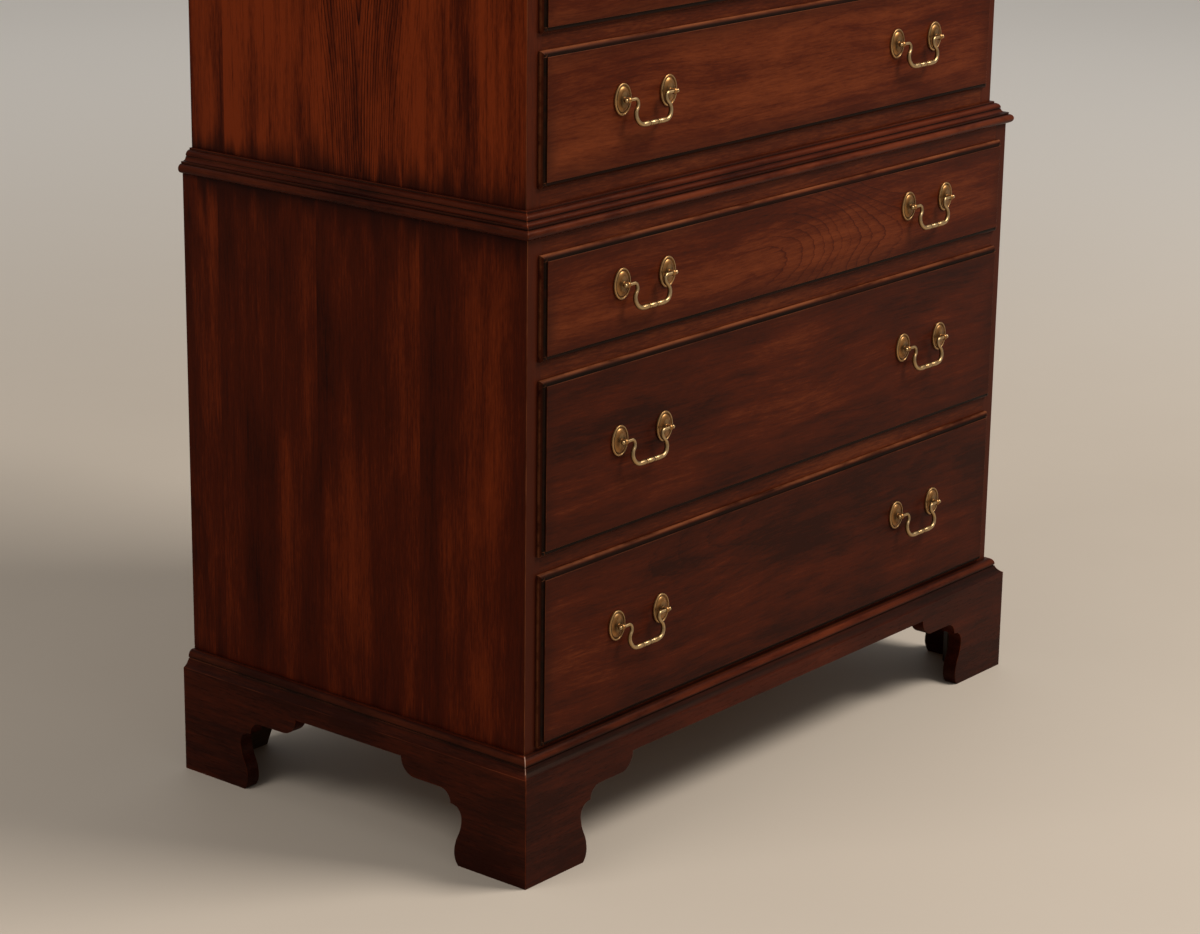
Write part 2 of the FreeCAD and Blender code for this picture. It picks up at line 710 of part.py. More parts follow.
def main():
    os.makedirs("parts", exist_ok=True)
    write_base()
    lower_board = lower_top - lower_top_thickness
    write_case("lower", lower_openings, lower_half, lower_face, case_bottom, lower_top, None,
               make_kickers(lower_opening_half, lower_face, lower_openings[-1][1], lower_board))
    write("lower_top_board", [block(-lower_opening_half, lower_opening_half, lower_face + rail_depth,
                                    inner_back, lower_board, lower_top)])
    write("waist_moulding", mitred_frame(waist_section(), upper_half, upper_face, waist_reach,
                                         waist_bottom, waist_top))
    small_low, small_high = upper_openings[-1]
    write_case("upper", upper_openings, upper_half, upper_face, lower_top, upper_top, small_low,
               make_kickers(upper_opening_half, upper_face, small_high, small_high + runner_thickness))
    write("upper_top_board", [block(-upper_half, upper_half, upper_face, case_back, upper_top, cornice_top)])
    write("small_drawer_divider", make_small_divider())
    write("cornice_moulding", mitred_frame(cornice_section(), upper_half, upper_face, cornice_reach,
                                           cornice_bottom, cornice_top))
    fittings = [make_rosette(), make_post(), make_nut()]
    bail = make_bail()
    for drawer in list_drawers():
        write_drawer(drawer, fittings, bail)


main()
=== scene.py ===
"""Looks of a tall two-case chest of drawers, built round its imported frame.

Every board is a softened copy of its solid, the waist moulding and the cornice are runs of a section, and the
brass pulls are turned and swept. Lengths are written in millimetres and become metres in the meshes.
"""

import logging
import math
import random
from collections.abc import Callable, Iterator, Sequence
from dataclasses import dataclass, field, replace
from enum import Enum
from typing import Any

import bmesh
import bpy
import numpy as np
from mathutils import Matrix, Vector


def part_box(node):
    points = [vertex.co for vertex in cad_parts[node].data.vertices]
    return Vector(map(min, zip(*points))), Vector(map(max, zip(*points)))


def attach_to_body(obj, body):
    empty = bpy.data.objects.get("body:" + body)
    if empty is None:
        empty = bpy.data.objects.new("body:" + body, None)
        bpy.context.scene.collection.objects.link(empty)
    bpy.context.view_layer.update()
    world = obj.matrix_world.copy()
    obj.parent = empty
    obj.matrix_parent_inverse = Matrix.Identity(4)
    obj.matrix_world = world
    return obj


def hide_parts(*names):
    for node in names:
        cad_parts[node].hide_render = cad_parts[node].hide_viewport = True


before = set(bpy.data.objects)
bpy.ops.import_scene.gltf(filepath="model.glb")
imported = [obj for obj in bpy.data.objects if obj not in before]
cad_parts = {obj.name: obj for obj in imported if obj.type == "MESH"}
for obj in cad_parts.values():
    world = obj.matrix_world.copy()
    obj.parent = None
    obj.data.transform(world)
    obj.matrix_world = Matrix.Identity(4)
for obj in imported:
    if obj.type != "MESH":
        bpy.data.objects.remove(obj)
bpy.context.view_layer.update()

MM = 0.001
LOG = logging.getLogger("tall_chest")
Colour = tuple[float, float, float]
Mark = tuple[float, float, float, float]
NEAR = 1e-5  # metres within which two places count as one
TINY = 1e-6  # metres, too little to show
MICRONS = 1e6  # in a metre
ARRIS_ANGLE = math.radians(28)  # an edge that turns more than this is rounded
CREASE_ANGLE = math.radians(50)  # a wooden edge that turns more than this stays sharp
CAST_CREASE_ANGLE = math.radians(42)  # the same on brass
FULL_WEAR, CHIPPED = 0.99, 1.7  # wear that a rounded arris has at least, and where the stain is gone
LOWER_HALF, LOWER_FACE = 444.5, -239.35  # half the lower case's width, and where its face lies
UPPER_HALF, UPPER_FACE = 429.5, -224.35  # the same of the upper case


def math_method(operation: str, swapped: bool = False) -> Callable[["Field", Any], "Field"]:
    """An operator for the class below.

    Args:
        operation: The Math node's operation.
        swapped: Whether the other value comes first.

    Returns:
        A method that adds one Math node.
    """
    def method(self: "Field", other: Any) -> "Field":
        """The result of this field and a number or another field."""
        return self.math(operation, other, self) if swapped else self.math(operation, self, other)

    return method


class Field:
    """A node's output that takes part in arithmetic: each operation adds one Math node."""

    def __init__(self, graph: "Graph", socket: bpy.types.NodeSocket) -> None:
        """Wraps an output of the graph's tree."""
        self.graph = graph
        self.socket = socket

    def math(self, operation: str, *values: Any) -> "Field":
        """One Math node, with numbers or fields as its inputs."""
        node = self.graph.add("ShaderNodeMath", {"operation": operation}, dict(enumerate(values)))
        return Field(self.graph, node.outputs[0])

    __add__, __radd__ = math_method("ADD"), math_method("ADD", True)
    __sub__, __rsub__ = math_method("SUBTRACT"), math_method("SUBTRACT", True)
    __mul__, __rmul__ = math_method("MULTIPLY"), math_method("MULTIPLY", True)
    __truediv__, __rtruediv__ = math_method("DIVIDE"), math_method("DIVIDE", True)
    __pow__, __lt__, __gt__ = math_method("POWER"), math_method("LESS_THAN"), math_method("GREATER_THAN")

    def __abs__(self) -> "Field":
        """This without its sign."""
        return self.math("ABSOLUTE", self)

    def rise(self, low: float, high: float) -> "Field":
        """A smooth step, from 0 at the low value to 1 at the high one."""
        node = self.graph.add("ShaderNodeMapRange", {"interpolation_type": "SMOOTHSTEP"},
                              {"Value": self, "From Min": low, "From Max": high})
        return Field(self.graph, node.outputs[0])


class Graph:
    """Builds one node tree, of a material or of Geometry Nodes."""

    def __init__(self, tree: bpy.types.NodeTree) -> None:
        """Takes the tree to add nodes to."""
        self.tree = tree

    def add(self, kind: str, settings: dict[str, Any] | None = None,
            sockets: dict[str | int, Any] | None = None) -> bpy.types.Node:
        """Adds any node.

        Args:
            kind: The node's type.
            settings: Its properties, set first; stops are a colour ramp's places and colours, points a Float
                Curve's.
            sockets: A value, field or socket for each input, by name or number.

        Returns:
            The node.
        """
        node = self.tree.nodes.new(kind)
        for name, value in (settings or {}).items():
            if name == "stops":
                self.set_stops(node.color_ramp, value)
            elif name == "points":
                self.set_points(node.mapping, value)
            else:
                setattr(node, name, value)
        for key, value in (sockets or {}).items():
            self.feed(node.inputs[key], value)
        return node

    def feed(self, socket: bpy.types.NodeSocket, value: Any) -> None:
        """Links or sets one input.

        Args:
            socket: The input.
            value: A field or socket to link, or a plain value.
        """
        if isinstance(value, Field):
            value = value.socket
        if isinstance(value, bpy.types.NodeSocket):
            self.tree.links.new(value, socket)
        else:
            socket.default_value = value

    @staticmethod
    def set_stops(ramp: bpy.types.ColorRamp, stops: Sequence[tuple[float, Colour]]) -> None:
        """Writes a colour ramp's stops.

        Args:
            ramp: The ramp.
            stops: The place and colour of each stop, in order.
        """
        while len(ramp.elements) < len(stops):
            ramp.elements.new(1.0)
        for element, (place, colour) in zip(ramp.elements, stops):
            element.position = place
            element.color = (*colour, 1.0)

    @staticmethod
    def set_points(mapping: bpy.types.CurveMapping, points: Sequence[tuple[float, float]]) -> None:
        """Writes a Float Curve's points.

        Args:
            mapping: The curve.
            points: Its points, in order, joined by straight lines.
        """
        curve = mapping.curves[0]
        while len(curve.points) < len(points):
            curve.points.new(0.5, 0.5)
        for point, place in zip(curve.points, points):
            point.location = place
            point.handle_type = "VECTOR"
        mapping.update()

    def value(self, kind: str, settings: dict[str, Any] | None = None,
              sockets: dict[str | int, Any] | None = None, output: str | int = 0) -> Field:
        """Adds any node and takes one output, by name or number."""
        return Field(self, self.add(kind, settings, sockets).outputs[output])

    def mix(self, share: Any, first: Any, second: Any) -> Field:
        """Blends two colours or fields; the share says how much of the second shows."""
        colours = [(*c, 1.0) if isinstance(c, tuple) else c for c in (first, second)]
        return self.value("ShaderNodeMix", {"data_type": "RGBA", "clamp_factor": True},
                          {0: share, 6: colours[0], 7: colours[1]}, 2)

    def vector(self, operation: str, first: Any, second: Any) -> Field:
        """One Vector Math node on two vectors or fields."""
        return self.value("ShaderNodeVectorMath", {"operation": operation}, {0: first, 1: second})

    def point(self, x: Any = 0.0, y: Any = 0.0, z: Any = 0.0) -> Field:
        """A vector from three numbers or fields."""
        return self.value("ShaderNodeCombineXYZ", None, {0: x, 1: y, 2: z})

    def parts(self, vector: Any) -> list[Field]:
        """A vector's three numbers."""
        node = self.add("ShaderNodeSeparateXYZ", None, {0: vector})
        return [Field(self, socket) for socket in node.outputs]

    def noise(self, place: Any, detail: float = 2.0, roughness: float = 0.5) -> Field:
        """Noise about zero, mostly between -0.3 and 0.3, at coordinates that are already scaled."""
        return self.value("ShaderNodeTexNoise", None,
                          {"Vector": place, "Scale": 1.0, "Detail": detail, "Roughness": roughness}) - 0.5


def start_material(name: str) -> tuple[bpy.types.Material, Graph, bpy.types.Node]:
    """Starts a material.

    Args:
        name: Its name.

    Returns:
        The material, its graph and its Principled shader.
    """
    made = bpy.data.materials.new(name)
    made.use_nodes = True
    return made, Graph(made.node_tree), made.node_tree.nodes["Principled BSDF"]


def link(name: str, data: Any) -> bpy.types.Object:
    """A new object in the scene with the given data."""
    made = bpy.data.objects.new(name, data)
    bpy.context.scene.collection.objects.link(made)
    return made


def evaluated(holder: bpy.types.Object) -> bpy.types.Mesh:
    """An object's mesh as its modifiers leave it."""
    return bpy.data.meshes.new_from_object(holder.evaluated_get(bpy.context.evaluated_depsgraph_get()))


class Trait(Enum):
    """What a mesh tells its material at each point."""

    BOARD = "board"  # place along the grain, across it and through the board
    SEED = "seed"  # one board's own place in the noise
    HEART = "heart"  # how the log leans, and its heart's place across and behind the board
    ACCENT = "accent"  # where the figure is strongest, how far it reaches and how strong it is
    WEAR = "wear"  # 1 on a worn arris, and on a painted highlight
    GLAZE = "glaze"  # 1 where dark glaze lies, and where shade is painted
    SPAN = "span"  # half the board's length and width, and how far in from its edges it darkens
    TONE = "tone"  # how much lighter or darker than its fellows a board is, partly painted light: lighter high up, darker low down


def read_trait(graph: Graph, trait: Trait) -> Field:
    """A trait in a material: a number for wear and painted highlight, glaze and painted shade, and tone,
    otherwise a vector.
    """
    output = "Fac" if trait in (Trait.WEAR, Trait.GLAZE, Trait.TONE) else "Vector"
    return graph.value("ShaderNodeAttribute", {"attribute_name": trait.value}, None, output)


@dataclass(frozen=True)
class Figure:
    """How one board was cut from its log."""

    lean: float = 0.012
    across: float = 120.0
    depth: float = 140.0
    accent_place: float = 0.0
    accent_reach: float = 200.0
    accent: float = 0.0
    tone: float = 0.0


GRAIN = {  # how often each texture repeats in a metre, along and across the grain
    "warp": (1.7, 8.0), "jag": (14.0, 240.0), "blotch": (7.5, 20.0), "streak": (6.0, 90.0),
    "vein": (9.0, 430.0), "fibre": (34.0, 400.0), "fleck": (110.0, 760.0), "pore": (70.0, 1900.0),
    "drip": (1.5, 48.0)}
BAND_ALONG = 1.2  # the same for the bands, whose width each wood names
SWAY = (3.0, 5.0, 5.0)  # how often the grain sways in a metre
STAVE_STEPS = (3.7, 5.3, 1.9)  # how far apart two neighbouring staves lie in the noise
STAIN_STOPS = (0.1, 0.5, 0.92)  # where the deep, the middle and the light colour lie on the tone
SKIN = 3e-4  # metres from its edge within which a board shows its edge's colour


@dataclass(frozen=True)
class Timber:
    """A wood and its finish."""

    name: str
    slot: str
    deep: Colour
    middle: Colour
    light: Colour
    # The glaze colour also paints shade, and the worn colour below also paints highlights.
    glaze: Colour
    worn_and_lit: Colour
    chipped: Colour = (0.42, 0.32, 0.25)
    ring: float = 4.6
    ring_depth: float = 0.3
    ring_edge: float = 14.0
    band: float = 83.0
    band_depth: float = 0.55
    blotch_depth: float = 0.55
    streak_depth: float = 0.45
    fibre_depth: float = 0.6
    vein_depth: float = 0.06
    pore_depth: float = 0.2
    roughness: float = 0.36
    gloss: float = 0.045
    lacquer: Colour = (1.0, 0.68, 0.46)
    # How much a board darkens towards its edges, and the painted shade at a panel's ends, where the mouldings
    # meet it.
    edge_shade: float = 0.45
    end_painted_shade: float = 0.0
    edge: Colour = (0.05, 0.011, 0.005)
    edge_share: float = 0.0
    stave: float = 0.0
    figured: float = 5000.0
    sway: float = 0.0

    def places(self, graph: Graph, board: Field, seed: Field) -> dict[str, Field]:
        """Where each texture of the grain is read.

        Args:
            graph: The material's graph.
            board: The place on the board.
            seed: The board's own place in the noise.

        Returns:
            The scaled coordinates of each texture.
        """
        flow = board
        if self.sway:
            slow = graph.vector("ADD", seed, graph.vector("MULTIPLY", board, SWAY))
            flow = graph.vector("ADD", board, graph.point(y=graph.noise(slow, 1.0) * self.sway * MM))
        sizes = {**GRAIN, "band": (BAND_ALONG, 1 / self.band / MM)}
        return {name: graph.vector("ADD", seed, graph.vector("MULTIPLY", flow, (along, across, across)))
                for name, (along, across) in sizes.items()}

    def rings(self, graph: Graph, board: Sequence[Field], places: dict[str, Field]) -> tuple[Field, Field]:
        """The growth rings that a board cuts through.

        Args:
            graph: The material's graph.
            board: The place along, across and through the board.
            places: The textures' coordinates.

        Returns:
            How dark the late wood is, and how strong the figure is.
        """
        along, across, through = board
        lean, heart, depth = graph.parts(read_trait(graph, Trait.HEART))
        place, reach, strength = graph.parts(read_trait(graph, Trait.ACCENT))
        warp = graph.noise(places["warp"], 2.0) * 0.05 + graph.noise(places["jag"], 2.0) * 0.0022
        span = ((across - heart) ** 2 + (through + depth) ** 2) ** 0.5
        gap = (along - place) / reach
        rise = lean * reach * gap / (1 + gap * gap) ** 0.5
        turn = (span + rise + warp) / (self.ring * MM)
        ring = turn.math("FLOOR", turn)
        force = graph.value("ShaderNodeTexWhiteNoise", {"noise_dimensions": "1D"}, {"W": ring})
        phase = turn - ring
        late = (phase ** self.ring_edge + phase ** 3 * 0.18) * (1 - phase.rise(0.95, 1.0)) * (0.25 + force)
        late = late / (1 + ((across - heart) / (self.figured * MM)) ** 4)
        return late, strength / (1 + gap * gap * gap * gap)

    def material(self) -> bpy.types.Material:
        """The wood as a solid texture on each board's own coordinates.

        Returns:
            The material.
        """
        made, graph, shader = start_material(self.name)
        board, seed = read_trait(graph, Trait.BOARD), read_trait(graph, Trait.SEED)
        along, across, through = graph.parts(board)
        if self.stave:
            joint = graph.parts(seed)[0] * 0.37 + across / (self.stave * MM)
            stave = joint.math("FLOOR", joint)
            seed = graph.vector("ADD", seed, graph.point(*(stave * step for step in STAVE_STEPS)))
        scaled = self.places(graph, board, seed)
        late, accent = self.rings(graph, (along, across, through), scaled)
        band = graph.noise(scaled["band"], 2.0)
        blotch = graph.noise(scaled["blotch"], 2.0, 0.6)
        streak = graph.noise(scaled["streak"], 3.0, 0.6)
        vein = graph.noise(scaled["vein"], 1.0).rise(0.06, 0.22)
        fibre = graph.noise(scaled["fibre"], 2.0, 0.6) + graph.noise(scaled["fleck"], 1.0) * 0.7
        pore = graph.noise(scaled["pore"], 1.0).rise(0.12, 0.3)
        half_long, half_wide, border = graph.parts(read_trait(graph, Trait.SPAN))
        inset = along.math("MINIMUM", half_long - abs(along), half_wide - abs(across))
        broad = inset > SKIN
        tone = (0.5 + read_trait(graph, Trait.TONE) * broad + band * self.band_depth
                + blotch * self.blotch_depth + streak * self.streak_depth + fibre * self.fibre_depth
                + accent * 0.1 - late * (0.35 + accent) * self.ring_depth
                - vein * self.vein_depth - pore * self.pore_depth)
        stops = list(zip(STAIN_STOPS, (self.deep, self.middle, self.light)))
        colour = graph.value("ShaderNodeValToRGB", {"stops": stops}, {0: tone})
        # Darker towards the board's edges; at a panel's ends, painted shade where the mouldings meet it.
        shaded = (border > NEAR) * broad
        shade = (1 - (inset / (border + TINY)).rise(0.0, 1.0)) * (self.edge_shade + band + blotch) * shaded
        if self.end_painted_shade:
            reach = 0.05 + graph.noise(scaled["drip"], 3.0, 0.6) * 0.17
            end_shadow = (1 - ((half_long - abs(along)) / reach).rise(0.1, 1.0)) * (reach > 0)
            shade = shade + end_shadow * self.end_painted_shade * shaded
        # Dark glaze in quirks and creases, which also carries painted shade in coves and under lips and
        # mouldings.
        glaze = read_trait(graph, Trait.GLAZE) * (0.9 + streak)
        # Wear on the arrises, which also carries the painted highlights on beads and lip rims.
        worn_and_lit = read_trait(graph, Trait.WEAR)
        patchiness = graph.noise(scaled["blotch"], 4.0, 0.75) + streak * 0.5
        wear = worn_and_lit * patchiness.rise(-0.2, 0.15)
        chip = worn_and_lit.rise(1.0, CHIPPED) * patchiness.rise(-0.1, 0.02)
        colour = graph.mix(shade, colour, self.deep)
        colour = graph.mix((1 - broad) * self.edge_share, colour, self.edge)
        colour = graph.mix(glaze, colour, self.glaze)
        colour = graph.mix(wear * 0.9, colour, self.worn_and_lit)
        colour = graph.mix(chip, colour, self.chipped)
        rough = self.roughness + fibre * 0.12 + pore * 0.1 + glaze * 0.08 + band * 0.1 + chip * 0.3
        bump = graph.value("ShaderNodeBump", None, {"Strength": 0.35, "Distance": 0.00012,
                                                    "Height": fibre * 0.5 - pore - late * 0.35})
        graph.feed(shader.inputs["Base Color"], colour)
        graph.feed(shader.inputs["Roughness"], rough)
        graph.feed(shader.inputs["Normal"], bump)
        shader.inputs["Specular IOR Level"].default_value = self.gloss
        shader.inputs["Specular Tint"].default_value = (*self.lacquer, 1.0)
        return made


@dataclass(frozen=True)
class Brass:
    """Cast brass with a brown patina in its hollows and bright rubbed edges; the same marks carry painted
    shade and, on the bails, painted sheen.
    """

    name: str = "antique_brass"
    slot: str = "antique_brass"
    body: Colour = (0.36, 0.168, 0.054)
    dull: Colour = (0.16, 0.07, 0.022)
    patina_and_shade: Colour = (0.02, 0.011, 0.006)
    rub_and_sheen: Colour = (0.6, 0.42, 0.2)
    dullness: float = 0.44

    def material(self) -> bpy.types.Material:
        """The metal, on object coordinates.

        Returns:
            The material.
        """
        made, graph, shader = start_material(self.name)
        place = graph.value("ShaderNodeTexCoord", None, None, "Object")
        cloud = graph.noise(graph.vector("MULTIPLY", place, (120.0, 120.0, 120.0)), 3.0, 0.6)
        grit = graph.noise(graph.vector("MULTIPLY", place, (900.0, 900.0, 900.0)), 2.0, 0.6)
        # Patina in the hollows, and painted shade under the bails and round the posts.
        patina_and_shade = read_trait(graph, Trait.GLAZE) * (0.8 + cloud)
        # Rubbed edges, and the painted sheen on the bails' outer side.
        rub_and_sheen = read_trait(graph, Trait.WEAR) * (0.6 + cloud * 1.2) * (1 - patina_and_shade)
        colour = graph.mix(0.45 + cloud * 2.4 + grit * 0.5, self.body, self.dull)
        colour = graph.mix(patina_and_shade, colour, self.patina_and_shade)
        colour = graph.mix(rub_and_sheen, colour, self.rub_and_sheen)
        bump = graph.value("ShaderNodeBump", None,
                           {"Strength": 0.2, "Distance": 0.0001, "Height": grit + cloud})
        graph.feed(shader.inputs["Base Color"], colour)
        graph.feed(shader.inputs["Roughness"], self.dullness + cloud * 0.25 + patina_and_shade * 0.2 - rub_and_sheen * 0.16)
        graph.feed(shader.inputs["Normal"], bump)
        shader.inputs["Metallic"].default_value = 1.0
        return made


CHERRY = Timber("stained_cherry", "cherry", (0.02, 0.0044, 0.0024), (0.058, 0.0102, 0.0034),
                (0.13, 0.029, 0.0082), (0.006, 0.0035, 0.0025), (0.22, 0.068, 0.026))
CHERRY_FRONT = replace(CHERRY, name="stained_cherry_front", middle=(0.058, 0.0091, 0.0029),
                       light=(0.13, 0.0265, 0.0072), lacquer=(1.0, 0.57, 0.33), band_depth=0.68,
                       blotch_depth=0.72, streak_depth=0.65, fibre_depth=0.42, sway=42.0)
CHERRY_PANEL = replace(CHERRY, name="stained_cherry_panel", deep=(0.014, 0.0018, 0.0008),
                       middle=(0.049, 0.0058, 0.0014), light=(0.15, 0.0205, 0.0036), ring=3.6,
                       ring_depth=0.5, ring_edge=5.0, band=52.0, band_depth=0.8, blotch_depth=0.55,
                       streak_depth=0.36, fibre_depth=0.36, vein_depth=0.1, edge_shade=0.1, end_painted_shade=0.9,
                       edge_share=0.7, stave=150.0, figured=60.0)
CHERRY_UPPER = replace(CHERRY_PANEL, name="stained_cherry_upper_panel", band=40.0, band_depth=1.15,
                       streak_depth=0.8, fibre_depth=0.5, vein_depth=0.14, ring_depth=0.9)
CHERRY_MOULD = replace(CHERRY, name="stained_cherry_moulding", deep=(0.018, 0.003, 0.0015),
                       middle=(0.056, 0.0084, 0.0027), light=(0.12, 0.022, 0.006), worn_and_lit=(0.15, 0.032, 0.0105),
                       ring_depth=0.1, fibre_depth=0.4, pore_depth=0.1, roughness=0.3, gloss=0.06)
INNER_WOOD = Timber("inner_wood", "secondary_wood", (0.24, 0.135, 0.06), (0.39, 0.25, 0.125),
                    (0.52, 0.37, 0.21), (0.15, 0.08, 0.038), (0.48, 0.34, 0.2), ring=5.5, ring_depth=0.5,
                    roughness=0.6)
BACK_PLY = Timber("back_plywood", "secondary_wood", (0.17, 0.095, 0.045), (0.27, 0.165, 0.085),
                  (0.38, 0.25, 0.14), (0.1, 0.06, 0.03), (0.4, 0.28, 0.17), ring=7.0, ring_depth=0.4,
                  roughness=0.62)
BLOCK_WOOD = replace(INNER_WOOD, name="stained_block_wood", deep=(0.012, 0.007, 0.004),
                     middle=(0.03, 0.016, 0.008), light=(0.06, 0.03, 0.016), worn_and_lit=(0.09, 0.05, 0.03))
BRASS = Brass()
BAIL_BRASS = Brass("handled_brass", body=(0.32, 0.178, 0.06), dull=(0.1, 0.052, 0.016),
                   rub_and_sheen=(0.7, 0.5, 0.27), dullness=0.4)


class Finishes:
    """Makes each material once."""

    def __init__(self) -> None:
        """Starts with none."""
        self.made: dict[str, bpy.types.Material] = {}

    def of(self, finish: Timber | Brass) -> bpy.types.Material:
        """The finish's material.

        Args:
            finish: A wood or the brass.

        Returns:
            Its material, made at the first call.
        """
        if finish.name not in self.made:
            self.made[finish.name] = finish.material()
        return self.made[finish.name]


class Section:
    """An outline drawn point by point with lines and arcs, in millimetres."""

    def __init__(self, u: float, v: float) -> None:
        """Starts at a point."""
        self.points: list[tuple[float, float]] = [(u, v)]

    def line(self, *points: tuple[float, float]) -> "Section":
        """Adds straight runs to the given corners."""
        self.points.extend(points)
        return self

    def arc(self, u: float, v: float, turn: float, steps: int = 10) -> "Section":
        """Adds an arc.

        Args:
            u: The end point.
            v: The end point.
            turn: How far it turns in degrees, counter-clockwise if positive.
            steps: How many straight pieces it is drawn with.

        Returns:
            This outline.
        """
        start, end = Vector(self.points[-1]), Vector((u, v))
        chord, half = end - start, math.radians(turn) / 2
        centre = (start + end) / 2 + Vector((-chord.y, chord.x)) / (2 * math.tan(half))
        spoke = start - centre
        for step in range(1, steps + 1):
            angle = 2 * half * step / steps
            self.points.append((centre.x + spoke.x * math.cos(angle) - spoke.y * math.sin(angle),
                                centre.y + spoke.x * math.sin(angle) + spoke.y * math.cos(angle)))
        return self

    def mesh(self, name: str, closed: bool) -> bpy.types.Mesh:
        """The outline as edges in the XY plane, in metres.

        Args:
            name: The mesh's name.
            closed: Whether the last point joins the first.

        Returns:
            The mesh.
        """
        made = bpy.data.meshes.new(name)
        count = len(self.points)
        edges = [(i, (i + 1) % count) for i in range(count if closed else count - 1)]
        made.from_pydata([(u * MM, v * MM, 0.0) for u, v in self.points], edges, [])
        return made


class NodeShape:
    """A Geometry Nodes tree with named inputs, run on a small mesh to give a plain one."""

    def __init__(self, name: str, inputs: dict[str, str]) -> None:
        """Makes the tree's interface.

        Args:
            name: The tree's name.
            inputs: The kind of each named input: Float, Int, Object or Material.
        """
        self.tree = bpy.data.node_groups.new(name, "GeometryNodeTree")
        sockets = [("Geometry", "INPUT", "Geometry"), ("Geometry", "OUTPUT", "Geometry")]
        sockets += [(label, "INPUT", kind) for label, kind in inputs.items()]
        for label, way, kind in sockets:
            self.tree.interface.new_socket(label, in_out=way, socket_type=f"NodeSocket{kind}")
        self.graph = Graph(self.tree)
        self.source = self.graph.add("NodeGroupInput")

    def input(self, label: str) -> Field:
        """A named input as a field."""
        return Field(self.graph, self.source.outputs[label])

    def base_curve(self) -> Field:
        """The mesh that it starts from, as a curve."""
        return self.graph.value("GeometryNodeMeshToCurve", None, {0: self.input("Geometry")})

    def finish(self, shape: Any, material: Any) -> None:
        """Ends the tree with Realize Instances and Set Material.

        Args:
            shape: The geometry.
            material: The material input.
        """
        real = self.graph.value("GeometryNodeRealizeInstances", None, {0: shape})
        dressed = self.graph.value("GeometryNodeSetMaterial", None, {"Geometry": real, "Material": material})
        self.graph.add("NodeGroupOutput", None, {0: dressed})

    def run(self, base: bpy.types.Mesh, values: dict[str, Any]) -> bpy.types.Mesh:
        """Evaluates the tree.

        Args:
            base: The mesh it starts from.
            values: A value for each named input.

        Returns:
            The result as a plain mesh.
        """
        holder = link(base.name, base)
        modifier = holder.modifiers.new("shape", "NODES")
        modifier.node_group = self.tree
        for item in self.tree.interface.items_tree:
            if item.in_out == "INPUT" and item.name in values:
                modifier[item.identifier] = values[item.name]
        mesh = evaluated(holder)
        holder.modifiers.remove(modifier)
        bpy.data.objects.remove(holder)
        return mesh


